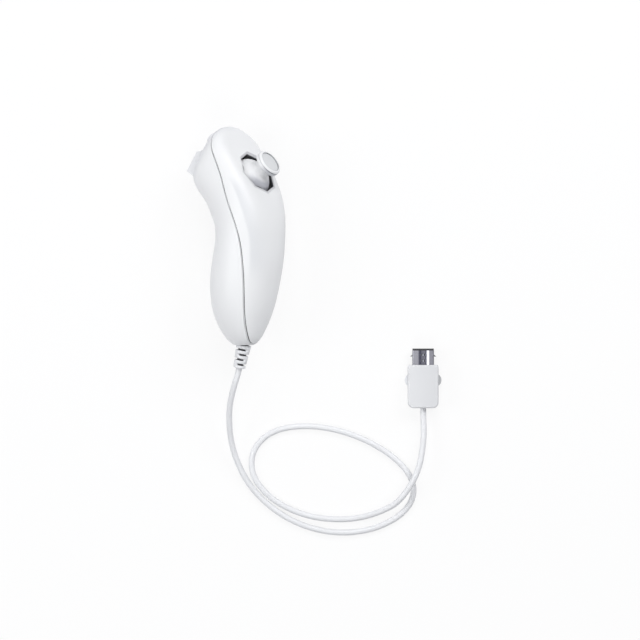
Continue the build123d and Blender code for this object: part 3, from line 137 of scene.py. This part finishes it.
class Finish:
    """A node material that is put together step by step round one Principled shader."""

    def __init__(self, name, colour, roughness, metallic=0.0):
        self.material = bpy.data.materials.new(name)
        self.material.use_nodes = True
        self.tree = self.material.node_tree
        self.shader = self.tree.nodes["Principled BSDF"]
        self.shader.inputs["Base Color"].default_value = (*colour, 1.0)
        self.shader.inputs["Roughness"].default_value = roughness
        self.shader.inputs["Metallic"].default_value = metallic
        self.colour = colour
        self.place = self.tree.nodes.new("ShaderNodeTexCoord").outputs["Object"]
        self.height = None

    def link(self, output, target):
        self.tree.links.new(output, target)

    def stretched(self, scale):
        """Object coordinates, stretched along an axis for streaks."""
        mapping = self.tree.nodes.new("ShaderNodeMapping")
        mapping.inputs["Scale"].default_value = scale
        self.link(self.place, mapping.inputs["Vector"])
        return mapping.outputs["Vector"]

    def noise(self, scale, detail, vector=None):
        """A noise pattern of a given fineness per metre."""
        noise = self.tree.nodes.new("ShaderNodeTexNoise")
        noise.inputs["Scale"].default_value = scale
        noise.inputs["Detail"].default_value = detail
        noise.inputs["Roughness"].default_value = NOISE_ROUGHNESS
        self.link(vector or self.place, noise.inputs["Vector"])
        return noise.outputs["Fac"]

    def spread(self, value, low, high, start=0.3, end=0.7):
        """A pattern's values brought between two numbers."""
        spread = self.tree.nodes.new("ShaderNodeMapRange")
        spread.inputs["From Min"].default_value = start
        spread.inputs["From Max"].default_value = end
        spread.inputs["To Min"].default_value = low
        spread.inputs["To Max"].default_value = high
        self.link(value, spread.inputs["Value"])
        return spread.outputs["Result"]

    def axes(self, vector=None):
        """The three coordinates of a point, as three outputs."""
        split = self.tree.nodes.new("ShaderNodeSeparateXYZ")
        self.link(vector or self.place, split.inputs["Vector"])
        return split.outputs

    def local(self, frame_matrix):
        """The three coordinates of a point in a turned and moved frame."""
        mapping = self.tree.nodes.new("ShaderNodeMapping")
        mapping.vector_type = "TEXTURE"
        mapping.inputs["Location"].default_value = frame_matrix.to_translation()
        mapping.inputs["Rotation"].default_value = frame_matrix.to_euler()
        self.link(self.place, mapping.inputs["Vector"])
        return self.axes(mapping.outputs["Vector"])

    def calc(self, operation, first, second=0.0):
        """One operation on two outputs or numbers."""
        node = self.tree.nodes.new("ShaderNodeMath")
        node.operation = operation
        for socket, value in zip(node.inputs, (first, second)):
            if isinstance(value, bpy.types.NodeSocket):
                self.link(value, socket)
            else:
                socket.default_value = value
        return node.outputs["Value"]

    def line(self, value, stops):
        """A value that follows a smooth line through some points, both from 0 to 1."""
        curve = self.tree.nodes.new("ShaderNodeFloatCurve")
        marks = curve.mapping.curves[0].points
        while len(marks) < len(stops):
            marks.new(0.5, 0.5)
        for mark, place in zip(marks, stops):
            mark.location = place
        curve.mapping.update()
        self.link(value, curve.inputs["Value"])
        return curve.outputs["Value"]

    def shade(self, share, colour):
        """Another colour lies over what the surface has so far, by a share from 0 to 1."""
        mix = self.tree.nodes.new("ShaderNodeMix")
        mix.data_type = "RGBA"
        base = self.shader.inputs["Base Color"]
        self.link(base.links[0].from_socket, mix.inputs["A"])
        mix.inputs["B"].default_value = (*colour, 1.0)
        self.link(share, mix.inputs["Factor"])
        self.link(mix.outputs["Result"], base)

    def tint(self, value, other, start=0.3, end=0.7):
        """The base colour drifts to another colour with a pattern."""
        ramp = self.tree.nodes.new("ShaderNodeValToRGB")
        ramp.color_ramp.elements[0].position = start
        ramp.color_ramp.elements[1].position = end
        ramp.color_ramp.elements[0].color = (*self.colour, 1.0)
        ramp.color_ramp.elements[1].color = (*other, 1.0)
        self.link(value, ramp.inputs["Fac"])
        self.link(ramp.outputs["Color"], self.shader.inputs["Base Color"])

    def bands(self, value, stops):
        """The base colour runs through a row of greys, each at its own share of the way."""
        ramp = self.tree.nodes.new("ShaderNodeValToRGB")
        marks = ramp.color_ramp.elements
        while len(marks) < len(stops):
            marks.new(0.5)
        for mark, (share, grey) in zip(marks, stops):
            mark.position = share
            mark.color = (grey, grey, min(1.04 * grey + 0.02, 1.0), 1.0)
        self.link(value, ramp.inputs["Fac"])
        self.link(ramp.outputs["Color"], self.shader.inputs["Base Color"])

    def dull(self, value, low, high):
        """The roughness drifts between two values with a pattern."""
        self.link(self.spread(value, low, high), self.shader.inputs["Roughness"])

    def bump(self, value, depth, strength):
        """A pattern raises the surface by a depth in metres, on top of any bump before it."""
        bump = self.tree.nodes.new("ShaderNodeBump")
        bump.inputs["Strength"].default_value = strength
        bump.inputs["Distance"].default_value = depth
        self.link(value, bump.inputs["Height"])
        if self.height is not None:
            self.link(self.height, bump.inputs["Normal"])
        self.height = bump.outputs["Normal"]
        self.link(self.height, self.shader.inputs["Normal"])


def smooth_share(finish, value, low, high):
    """From 0 to 1 between two values, held at both ends."""
    share = finish.spread(value, 0.0, 1.0, low, high)
    share.node.interpolation_type = "SMOOTHSTEP"
    return share


def fading_share(finish, value, low, high):
    """From 1 to 0 between two values, held at both ends."""
    return finish.calc("SUBTRACT", 1.0, smooth_share(finish, value, low, high))


def product(finish, *values):
    """Outputs or numbers multiplied together, from left to right."""
    result = values[0]
    for value in values[1:]:
        result = finish.calc("MULTIPLY", result, value)
    return result


def reach_along(finish, first, second, turn):
    """How far a point lies along a direction that is turned from the first axis to the second."""
    return finish.calc("ADD", product(finish, first, cos(turn)), product(finish, second, sin(turn)))


def above_line(finish, wand, shares):
    """How far a point lies above a line that runs along the wand's body."""
    along = finish.calc("DIVIDE", wand["Y"], BODY_LENGTH)
    level = finish.line(along, [(share, height + 0.5) for share, height in shares])
    level = product(finish, finish.calc("SUBTRACT", level, 0.5), BODY_DEPTH)
    return finish.calc("SUBTRACT", wand["Z"], level)


def octagon_reach(finish, stick):
    """How far out a point lies from the stick's axis, measured square to the octagon's sides."""
    reach = None
    for corner in range(4):
        turn = HALF_CORNER * (1 + 2 * corner)
        out = finish.calc("ABSOLUTE", reach_along(finish, stick["X"], stick["Y"], turn))
        reach = out if reach is None else finish.calc("MAXIMUM", reach, out)
    return reach


def shell_finish():
    """Smooth white moulding with painted shade: in the parting line, along a soft crease, near the
    front face, and a dark edge round the stick.
    """
    finish = Finish("white_shell", (0.80, 0.806, 0.815), 0.42)
    finish.shader.inputs["Specular IOR Level"].default_value = 0.35
    finish.tint(finish.noise(22, 2), (0.785, 0.791, 0.802))
    wand = finish.local(WAND)
    stick = finish.local(STICK_FRAME)
    # Painted shade along a soft crease of the top shell
    above_crease = above_line(finish, wand, CREASE_SHARES)
    along = finish.calc("DIVIDE", wand["Y"], BODY_LENGTH)
    start, full, waning, gone = CREASE_SHADE_FADE_SHARES
    crease = product(
        finish, smooth_share(finish, above_crease, -0.6 * MM, 0.9 * MM),
        fading_share(finish, above_crease, 0.9 * MM, CREASE_SHADE_RUN),
        smooth_share(finish, along, start, full), fading_share(finish, along, waning, gone),
    )
    finish.shade(product(finish, crease, 0.5), (0.60, 0.615, 0.64))
    # Shade near the front face
    behind_face = finish.calc(
        "SUBTRACT",
        product(finish, finish.calc("SUBTRACT", wand["Z"], FACE_CENTRE.z), sin(HEAD_TURN)),
        product(finish, finish.calc("SUBTRACT", wand["Y"], FACE_CENTRE.y), cos(HEAD_TURN)),
    )
    face_shade = fading_share(finish, behind_face, *FACE_SHADE_RUN)
    finish.shade(product(finish, face_shade, 0.4), (0.56, 0.575, 0.63))
    # Painted shade in the parting line
    from_seam = finish.calc("ABSOLUTE", above_line(finish, wand, SEAM_SHARES))
    seam_shade = fading_share(finish, from_seam, 0.8 * SEAM_SHADE_LINE, 1.3 * SEAM_SHADE_LINE)
    finish.shade(seam_shade, (0.015, 0.015, 0.018))
    # Painted shade on the lip round the stick's opening, and a painted dark edge in the opening
    reach = octagon_reach(finish, stick)
    side = OPENING_RADIUS * cos(HALF_CORNER)
    near = smooth_share(finish, stick["Z"], 0.0, 1.0 * MM)
    opening_rim_shade = fading_share(finish, reach, side + 0.8 * MM, side + 1.9 * MM)
    finish.shade(product(finish, opening_rim_shade, near, 0.45), (0.3, 0.3, 0.33))
    # Painted dark edge just inside the opening
    inside = fading_share(finish, reach, side + 0.1 * MM, side + OPENING_SHADE_LINE)
    finish.shade(product(finish, inside, near), (0.05, 0.05, 0.056))
    finish.dull(finish.noise(260, 4), 0.38, 0.48)
    finish.bump(finish.noise(30, 2), 0.00010, 0.12)
    finish.bump(finish.noise(4200, 2), 0.000003, 0.3)
    return finish.material


def stick_finish():
    """Satin white moulding of the stick, with painted shade: a fine dark line round the dish, in
    the dish, round the cap's side and low on the skirt.
    """
    finish = Finish("satin_stick", (0.80, 0.806, 0.816), 0.5)
    finish.tint(finish.noise(120, 3), (0.78, 0.787, 0.798))
    stick = finish.local(STICK_FRAME)
    # Painted shade in the dish in the cap's top, and a painted dark line round it
    out = finish.calc("SQRT", finish.calc(
        "ADD", product(finish, stick["X"], stick["X"]), product(finish, stick["Y"], stick["Y"])
    ))
    cap_foot = CAP_TOP - CAP_THICKNESS
    on_cap = smooth_share(finish, stick["Z"], cap_foot - 0.3 * MM, cap_foot)
    dish = fading_share(finish, out, DISH_RADIUS - 0.4 * MM, DISH_RADIUS - 0.1 * MM)
    finish.shade(product(finish, dish, on_cap, 0.75), (0.62, 0.63, 0.645))
    from_edge = finish.calc("ABSOLUTE", finish.calc("SUBTRACT", out, DISH_RADIUS))
    # Painted dark line at the dish's edge
    ring = fading_share(finish, from_edge, 0.08 * MM, 0.26 * MM)
    finish.shade(product(finish, ring, on_cap, 0.75), (0.22, 0.225, 0.24))
    # Painted shade round the cap's side: a dark line below its top, darker on its low side
    shaded_low_side = smooth_share(finish, stick["Y"], 1.0 * MM, -6.0 * MM)
    cap_shade_line = CAP_TOP - CAP_SHADE_LINE_DOWN
    from_line = finish.calc("ABSOLUTE", finish.calc("SUBTRACT", stick["Z"], cap_shade_line))
    under_rim_shade = fading_share(finish, from_line, 0.12 * MM, 0.34 * MM)
    finish.shade(product(finish, under_rim_shade, finish.calc("MAXIMUM", shaded_low_side, 0.35)),
                 (0.10, 0.105, 0.12))
    # Painted shade on the cap's low side
    side = fading_share(finish, stick["Z"], cap_shade_line - 0.4 * MM, cap_shade_line)
    finish.shade(product(finish, side, on_cap, shaded_low_side, 0.6), (0.36, 0.37, 0.41))
    # Painted shade and a painted dark edge low on the skirt
    skirt_shade = fading_share(finish, stick["Z"], *SKIRT_SHADE_RUN)
    finish.shade(product(finish, skirt_shade, shaded_low_side, 0.75), (0.34, 0.35, 0.40))
    near_side = reach_along(finish, stick["X"], stick["Y"], NEAR_SIDE)
    # Painted shadow along the skirt beside the shell's opening
    edge = smooth_share(finish, octagon_reach(finish, stick), SKIRT_SHADOW, SKIRT_SHADOW + 0.5 * MM)
    near = smooth_share(finish, near_side, 3.0 * MM, 6.0 * MM)
    finish.shade(product(finish, edge, near, skirt_shade), (0.02, 0.02, 0.025))
    finish.dull(finish.noise(700, 3), 0.36, 0.5)
    finish.bump(finish.noise(3800, 2), 0.00002, 0.6)
    return finish.material


def button_finish():
    """White moulding of the two front buttons."""
    finish = Finish("button_white", (0.74, 0.748, 0.766), 0.45)
    finish.tint(finish.noise(90, 2), (0.72, 0.728, 0.748))
    finish.dull(finish.noise(420, 3), 0.26, 0.38)
    finish.bump(finish.noise(3000, 2), 0.000015, 0.45)
    return finish.material


def plug_finish():
    """White moulding of the plug's covers, finely textured, with painted shade a little darker to
    the right.
    """
    finish = Finish("plug_white", (0.70, 0.706, 0.72), 0.45)
    finish.tint(finish.noise(80, 2), (0.68, 0.687, 0.705))
    # Painted shade: darker towards the right of the plug
    right = smooth_share(finish, finish.axes()["X"], PLUG_X - PLUG_HALF, PLUG_X + PLUG_HALF)
    finish.shade(product(finish, right, 0.35), (0.52, 0.528, 0.55))
    finish.dull(finish.noise(900, 3), 0.33, 0.46)
    finish.bump(finish.noise(5200, 2), 0.00002, 0.7)
    return finish.material


def latch_finish(name, grey, hook_shade_grey):
    """Plastic of one of the plug's side latches, in a grey that paints its side lit or shaded, with
    painted shade on the hook in front of the covers.
    """
    finish = Finish(name, (grey, 1.02 * grey, 1.05 * grey), 0.4)
    finish.tint(finish.noise(150, 2), (0.93 * grey, 0.95 * grey, 0.98 * grey))
    hook = smooth_share(finish, finish.axes()["Y"], PLUG_FRONT, PLUG_FRONT + 0.8 * MM)
    finish.shade(hook, (hook_shade_grey, hook_shade_grey, 1.05 * hook_shade_grey))
    finish.dull(finish.noise(900, 3), 0.34, 0.48)
    finish.bump(finish.noise(4200, 2), 0.00002, 0.6)
    return finish.material


def jacket_finish():
    """Flexible jacket of the cord: even, slightly silky."""
    finish = Finish("cord_jacket", (0.76, 0.767, 0.785), 0.42)
    finish.tint(finish.noise(45, 3), (0.735, 0.742, 0.76))
    finish.dull(finish.noise(520, 4), 0.31, 0.45)
    finish.bump(finish.noise(2400, 3), 0.00003, 0.5)
    return finish.material


def relief_finish():
    """The jacket's rubber, with painted shade darkening the depth of the slots."""
    finish = Finish("relief_rubber", (0.72, 0.727, 0.745), 0.4)
    # Painted shade: the further a slot sinks here, the darker
    depth = finish.tree.nodes.new("ShaderNodeAttribute")
    depth.attribute_name = "sunk"
    finish.tint(depth.outputs["Fac"], (0.03, 0.03, 0.034), 0.35, 0.95)
    finish.dull(finish.noise(520, 4), 0.34, 0.48)
    finish.bump(finish.noise(2400, 3), 0.00003, 0.4)
    return finish.material


def dark_finish():
    """Black moulding inside the housing and on the plug's nose."""
    finish = Finish("dark_moulding", (0.012, 0.012, 0.014), 0.45)
    finish.tint(finish.noise(260, 3), (0.0204, 0.0204, 0.0238))
    finish.dull(finish.noise(900, 3), 0.38, 0.55)
    finish.bump(finish.noise(4000, 2), 0.00002, 0.6)
    return finish.material


def inner_finish():
    """Dark grey engineering plastic of the mechanism."""
    finish = Finish("mechanism_grey", (0.10, 0.105, 0.115), 0.5)
    finish.tint(finish.noise(200, 3), (0.13, 0.135, 0.145))
    finish.dull(finish.noise(800, 3), 0.42, 0.58)
    finish.bump(finish.noise(3600, 2), 0.00002, 0.5)
    return finish.material


def board_finish():
    """Green lacquer over copper tracks."""
    finish = Finish("lacquered_board", (0.02, 0.13, 0.05), 0.32)
    tracks = finish.tree.nodes.new("ShaderNodeTexVoronoi")
    tracks.distance = "MANHATTAN"
    tracks.feature = "F1"
    tracks.inputs["Scale"].default_value = 420
    finish.link(finish.place, tracks.inputs["Vector"])
    finish.tint(tracks.outputs["Distance"], (0.035, 0.20, 0.085), 0.32, 0.36)
    finish.bump(tracks.outputs["Distance"], 0.00003, 0.5)
    finish.dull(finish.noise(600, 2), 0.26, 0.38)
    return finish.material


def chip_finish():
    """Matt black moulded package."""
    finish = Finish("chip_package", (0.02, 0.02, 0.023), 0.6)
    finish.tint(finish.noise(900, 3), (0.035, 0.035, 0.04))
    finish.dull(finish.noise(1500, 3), 0.5, 0.7)
    finish.bump(finish.noise(6000, 2), 0.00001, 0.6)
    return finish.material


def ribbon_finish():
    """Amber film with copper conductors along it."""
    finish = Finish("amber_film", (0.52, 0.24, 0.05), 0.3)
    lines = finish.tree.nodes.new("ShaderNodeTexWave")
    lines.inputs["Scale"].default_value = 320
    finish.link(finish.place, lines.inputs["Vector"])
    finish.tint(lines.outputs["Fac"], (0.66, 0.34, 0.10), 0.4, 0.6)
    finish.bump(lines.outputs["Fac"], 0.00002, 0.4)
    return finish.material


def wire_finish():
    """Red insulation of the inner wires."""
    finish = Finish("wire_red", (0.45, 0.03, 0.025), 0.4)
    finish.tint(finish.noise(300, 2), (0.52, 0.05, 0.04))
    finish.bump(finish.noise(2500, 2), 0.00002, 0.4)
    return finish.material


def steel_finish():
    """Plain steel with fine drawn streaks."""
    finish = Finish("plain_steel", (0.50, 0.50, 0.52), 0.34, 1.0)
    streaks = finish.noise(900, 3, vector=finish.stretched((1, 1, 0.08)))
    finish.tint(streaks, (0.60, 0.60, 0.62))
    finish.dull(streaks, 0.28, 0.44)
    finish.bump(streaks, 0.00001, 0.4)
    return finish.material


def plated_finish():
    """Plated sheet of the plug's tongue: grey, with painted shade for a dark channel along it and a
    painted reflection for a bright strip beside.
    """
    finish = Finish("plated_sheet", (0.27, 0.275, 0.30), 0.42, 0.75)
    streaks = finish.noise(1400, 3, vector=finish.stretched((1, 0.05, 1)))
    across = finish.spread(
        finish.axes()["X"], 0.0, 1.0, PLUG_X - SHIELD_HALF, PLUG_X + SHIELD_HALF
    )
    # Painted shade in the channel and a painted reflection in the strip
    finish.bands(across, TONGUE_SHADE_AND_GLINT_BANDS)
    finish.dull(streaks, 0.36, 0.5)
    finish.bump(streaks, 0.00001, 0.35)
    return finish.material


def contact_finish():
    """Dull plated contacts, which catch a little light in their windows."""
    finish = Finish("plated_contacts", (0.32, 0.33, 0.39), 0.42, 0.4)
    finish.tint(finish.noise(700, 2), (0.40, 0.41, 0.47))
    finish.dull(finish.noise(1500, 2), 0.34, 0.48)
    return finish.material


def rubber_finish():
    """Grey silicone of the button pad."""
    finish = Finish("silicone_pad", (0.30, 0.31, 0.33), 0.55)
    finish.tint(finish.noise(300, 3), (0.35, 0.36, 0.38))
    finish.dull(finish.noise(900, 3), 0.48, 0.62)
    finish.bump(finish.noise(2600, 3), 0.00003, 0.5)
    return finish.material


SHELL = shell_finish()
STICK = stick_finish()
BUTTON = button_finish()
PLUG = plug_finish()
# Painted light and shade: one plastic as a lit copy on the left latch and a shaded copy on the
# right
LATCH_LIT_LEFT = latch_finish("latch_lit", 0.78, 0.16)
LATCH_SHADED_RIGHT = latch_finish("latch_shaded", 0.44, 0.012)
JACKET = jacket_finish()
RELIEF = relief_finish()
DARK = dark_finish()
INNER = inner_finish()
BOARD = board_finish()
CHIP = chip_finish()
RIBBON = ribbon_finish()
WIRE = wire_finish()
STEEL = steel_finish()
PLATED = plated_finish()
CONTACT = contact_finish()
RUBBER = rubber_finish()

NODE_FINISHES = {
    "top_shell": SHELL, "bottom_shell": SHELL, "stick_cap": STICK, "stick_stem": STEEL,
    "upper_button": BUTTON, "trigger": BUTTON, "trigger_pin": STEEL, "button_pad": RUBBER,
    "button_board": BOARD, "main_board": BOARD, "controller_chip": CHIP,
    "motion_sensor_chip": CHIP, "wire_socket": INNER, "wire_plug": INNER, "cord_wires": WIRE,
    "stick_ribbon": RIBBON, "button_ribbon": RIBBON, "stick_housing": INNER,
    "stick_base": STEEL, "gimbal_dome": DARK, "side_sensor": DARK, "rear_sensor": DARK,
    "inner_rocker": INNER, "gimbal_pin": STEEL, "outer_rocker": INNER, "stick_spring": STEEL,
    "spring_seat": INNER, "strain_relief": RELIEF, "plug_front_cover": PLUG,
    "plug_rear_cover": PLUG, "plug_shield": PLATED, "contact_block": DARK,
    "plug_contacts": CONTACT, "latch_left": LATCH_LIT_LEFT, "latch_right": LATCH_SHADED_RIGHT,
    "latch_pin_left": STEEL, "latch_pin_right": STEEL, "latch_spring_left": STEEL,
    "latch_spring_right": STEEL,
}
for name, node in nodes.items():
    finish = STEEL if "screw" in name else NODE_FINISHES.get(name, JACKET)
    for slot in node.material_slots:
        slot.material = finish


def smooth_curve(name, points, radius, material):
    """A tube along one smooth line, whose control points are the route's own."""
    data = bpy.data.curves.new(name, "CURVE")
    data.dimensions = "3D"
    spline = data.splines.new("NURBS")
    spline.points.add(len(points) - 1)
    for point, place in zip(spline.points, points):
        point.co = (*(Vector(place) * MM), 1.0)
    spline.order_u = 3
    spline.use_endpoint_u = True
    data.resolution_u = 14
    data.bevel_depth = radius
    data.bevel_resolution = 5
    data.use_fill_caps = True
    data.materials.append(material)
    tube = bpy.data.objects.new(name, data)
    bpy.context.scene.collection.objects.link(tube)
    return tube


def finished(name, bm, material, body, place):
    """A bmesh made an object that rides on a body, with its place in its mesh."""
    bmesh.ops.transform(bm, matrix=place, verts=bm.verts)
    bmesh.ops.recalc_face_normals(bm, faces=bm.faces)
    for face in bm.faces:
        face.smooth = True
    mesh = bpy.data.meshes.new(name)
    bm.to_mesh(mesh)
    bm.free()
    mesh.materials.append(material)
    piece = bpy.data.objects.new(name, mesh)
    bpy.context.scene.collection.objects.link(piece)
    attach(piece, body)
    return piece


# Strain relief: a tapered sleeve with four slots, open at one side and the other in turn
RELIEF_LEAN = radians(13.5)
RELIEF_DROP = 0.1 * MM
RELIEF_LENGTH = 12.0 * MM
RELIEF_ROOT = 3.9 * MM
RELIEF_TIP = 3.1 * MM
RELIEF_BORE = 1.58 * MM
RELIEF_SIDES = 64
SLOT_COUNT = 4
SLOT_DEPTH = 1.4 * MM
SLOT_WIDTH = 1.1 * MM
SLOT_PITCH = 2.6 * MM
SLOT_START = 1.7 * MM
SLOT_LIP = 0.12 * MM
SLOT_OPENING = 0.62
SLOT_SOFTNESS = 0.16


def relief_radius(along):
    """The sleeve's radius, which falls evenly from its root to its tip."""
    return RELIEF_ROOT + (RELIEF_TIP - RELIEF_ROOT) * along / RELIEF_LENGTH


def relief_rings():
    """Each ring of the sleeve: its place along, its radius, and how far which side sinks."""
    rings = [(0.0, 0.0), (0.9 * MM, 0.0)]
    for count in range(SLOT_COUNT):
        start = SLOT_START + count * SLOT_PITCH
        end = start + SLOT_WIDTH
        side = -1 if count % 2 == 0 else 1
        rings += [(start - SLOT_LIP, 0.0), (start, 0.12 * side), (start + SLOT_LIP, side)]
        rings += [(end - SLOT_LIP, side), (end, 0.12 * side), (end + SLOT_LIP, 0.0)]
    rings.append((RELIEF_LENGTH - 0.4 * MM, 0.0))
    made = [(along, relief_radius(along), sink) for along, sink in rings]
    made.append((RELIEF_LENGTH - 0.1 * MM, RELIEF_TIP - 0.05 * MM, 0.0))
    made.append((RELIEF_LENGTH, RELIEF_TIP - 0.3 * MM, 0.0))
    made.append((RELIEF_LENGTH, RELIEF_BORE, 0.0))
    made.append((RELIEF_LENGTH - 1.5 * MM, RELIEF_BORE, 0.0))
    return made


def relief_piece():
    """Rings from the housing to the tip; a slot's rings sink on one side, marked as sunk."""
    bm = bmesh.new()
    sunk = bm.verts.layers.float.new("sunk")
    edges = None
    for along, radius, sink in relief_rings():
        if edges is None:
            ring = bmesh.ops.create_circle(bm, segments=RELIEF_SIDES, radius=radius)["verts"]
            edges = list(bm.edges)
        else:
            made = bmesh.ops.extrude_edge_only(bm, edges=edges)["geom"]
            ring = [item for item in made if isinstance(item, bmesh.types.BMVert)]
            edges = [item for item in made if isinstance(item, bmesh.types.BMEdge)]
        for vert in ring:
            out = Vector((vert.co.x, vert.co.y, 0)).normalized()
            share = 0.0
            if sink:
                opened = out.x if sink > 0 else -out.x
                share = (opened + SLOT_OPENING) / SLOT_SOFTNESS
                share = min(max(share, 0.0), 1.0) * abs(sink)
            vert.co = out * (radius - SLOT_DEPTH * share) + Vector((0, 0, along))
            # How far the slot sinks here, which the rubber turns into painted shade
            vert[sunk] = share
    bmesh.ops.holes_fill(bm, edges=[edge for edge in bm.edges if edge.is_boundary])
    return bm


way = Vector((0, -cos(RELIEF_LEAN), -sin(RELIEF_LEAN)))
across = Vector((cos(WAND_ROLL), 0, sin(WAND_ROLL)))
across = (across - way * across.dot(way)).normalized()
turned = Matrix((across, way.cross(across), way)).transposed().to_4x4()
relief_place = WAND @ Matrix.Translation((0, 0, -RELIEF_DROP)) @ turned
relief = finished("relief_sleeve", relief_piece(), RELIEF, "wand", relief_place)
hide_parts("strain_relief")

cord = smooth_curve("cord_line", CORD_ROUTE, CORD_RADIUS, JACKET)
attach(cord, "wand")
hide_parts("cord")

# Floor, light and background
FLOOR_SIZE = 4.0
FLOOR_DOWN = 0.2 * MM
FLOOR_GLOW = 0.86
bm = bmesh.new()
bmesh.ops.create_grid(bm, x_segments=1, y_segments=1, size=FLOOR_SIZE / 2)
bmesh.ops.translate(bm, verts=bm.verts, vec=(0, 0, -FLOOR_DOWN))
floor_mesh = bpy.data.meshes.new("floor")
bm.to_mesh(floor_mesh)
bm.free()
floor = bpy.data.objects.new("floor", floor_mesh)
bpy.context.scene.collection.objects.link(floor)


def background_rays(tree):
    """One for rays from the camera, and for those that a gloss or a clear piece sends on."""
    path = tree.nodes.new("ShaderNodeLightPath")
    seen = path.outputs["Is Camera Ray"]
    for kind in ("Is Glossy Ray", "Is Transmission Ray"):
        more = tree.nodes.new("ShaderNodeMath")
        more.operation = "MAXIMUM"
        tree.links.new(seen, more.inputs[0])
        tree.links.new(path.outputs[kind], more.inputs[1])
        seen = more.outputs["Value"]
    return seen


def floor_finish():
    """White paper that the camera sees as white and that still takes a faint shadow."""
    material = bpy.data.materials.new("white_paper")
    material.use_nodes = True
    tree = material.node_tree
    tree.nodes.clear()
    share = tree.nodes.new("ShaderNodeMath")
    share.operation = "MULTIPLY"
    share.inputs[1].default_value = FLOOR_GLOW
    tree.links.new(background_rays(tree), share.inputs[0])
    paper = tree.nodes.new("ShaderNodeBsdfDiffuse")
    paper.inputs["Color"].default_value = (0.86, 0.86, 0.87, 1)
    white = tree.nodes.new("ShaderNodeEmission")
    white.inputs["Color"].default_value = (1, 1, 1, 1)
    mix = tree.nodes.new("ShaderNodeMixShader")
    tree.links.new(share.outputs[0], mix.inputs["Fac"])
    tree.links.new(paper.outputs[0], mix.inputs[1])
    tree.links.new(white.outputs[0], mix.inputs[2])
    out = tree.nodes.new("ShaderNodeOutputMaterial")
    tree.links.new(mix.outputs[0], out.inputs["Surface"])
    return material


floor_mesh.materials.append(floor_finish())

world = bpy.data.worlds.new("studio")
bpy.context.scene.world = world
world.use_nodes = True
world_tree = world.node_tree
world_tree.nodes.clear()
dim = world_tree.nodes.new("ShaderNodeBackground")
dim.inputs["Color"].default_value = (0.88, 0.91, 0.97, 1)
dim.inputs["Strength"].default_value = 0.2
bright = world_tree.nodes.new("ShaderNodeBackground")
bright.inputs["Color"].default_value = (1, 1, 1, 1)
mix = world_tree.nodes.new("ShaderNodeMixShader")
world_tree.links.new(background_rays(world_tree), mix.inputs["Fac"])
world_tree.links.new(dim.outputs[0], mix.inputs[1])
world_tree.links.new(bright.outputs[0], mix.inputs[2])
world_out = world_tree.nodes.new("ShaderNodeOutputWorld")
world_tree.links.new(mix.outputs[0], world_out.inputs["Surface"])


SOFTBOX_SIDE = 0.6


def softbox(name, place, power):
    """A square soft light that faces the origin."""
    data = bpy.data.lights.new(name, "AREA")
    data.shape = "RECTANGLE"
    data.size = data.size_y = SOFTBOX_SIDE
    data.energy = power
    light = bpy.data.objects.new(name, data)
    light.location = place
    light.visible_camera = False
    light.rotation_euler = Vector(place).to_track_quat("Z", "Y").to_euler()
    bpy.context.scene.collection.objects.link(light)


softbox("above", (0.0, 0.0, 1.4), 0.7)
softbox("far_side", (0.0, 0.8, 1.1), 5.7)
softbox("far_right", (0.6, 0.6, 0.8), 5.9)
softbox("near_side", (0.0, -0.8, 1.1), 4.2)
softbox("left_side", (-0.9, 0.0, 0.8), 5.4)

bpy.context.scene.view_settings.view_transform = "Standard"
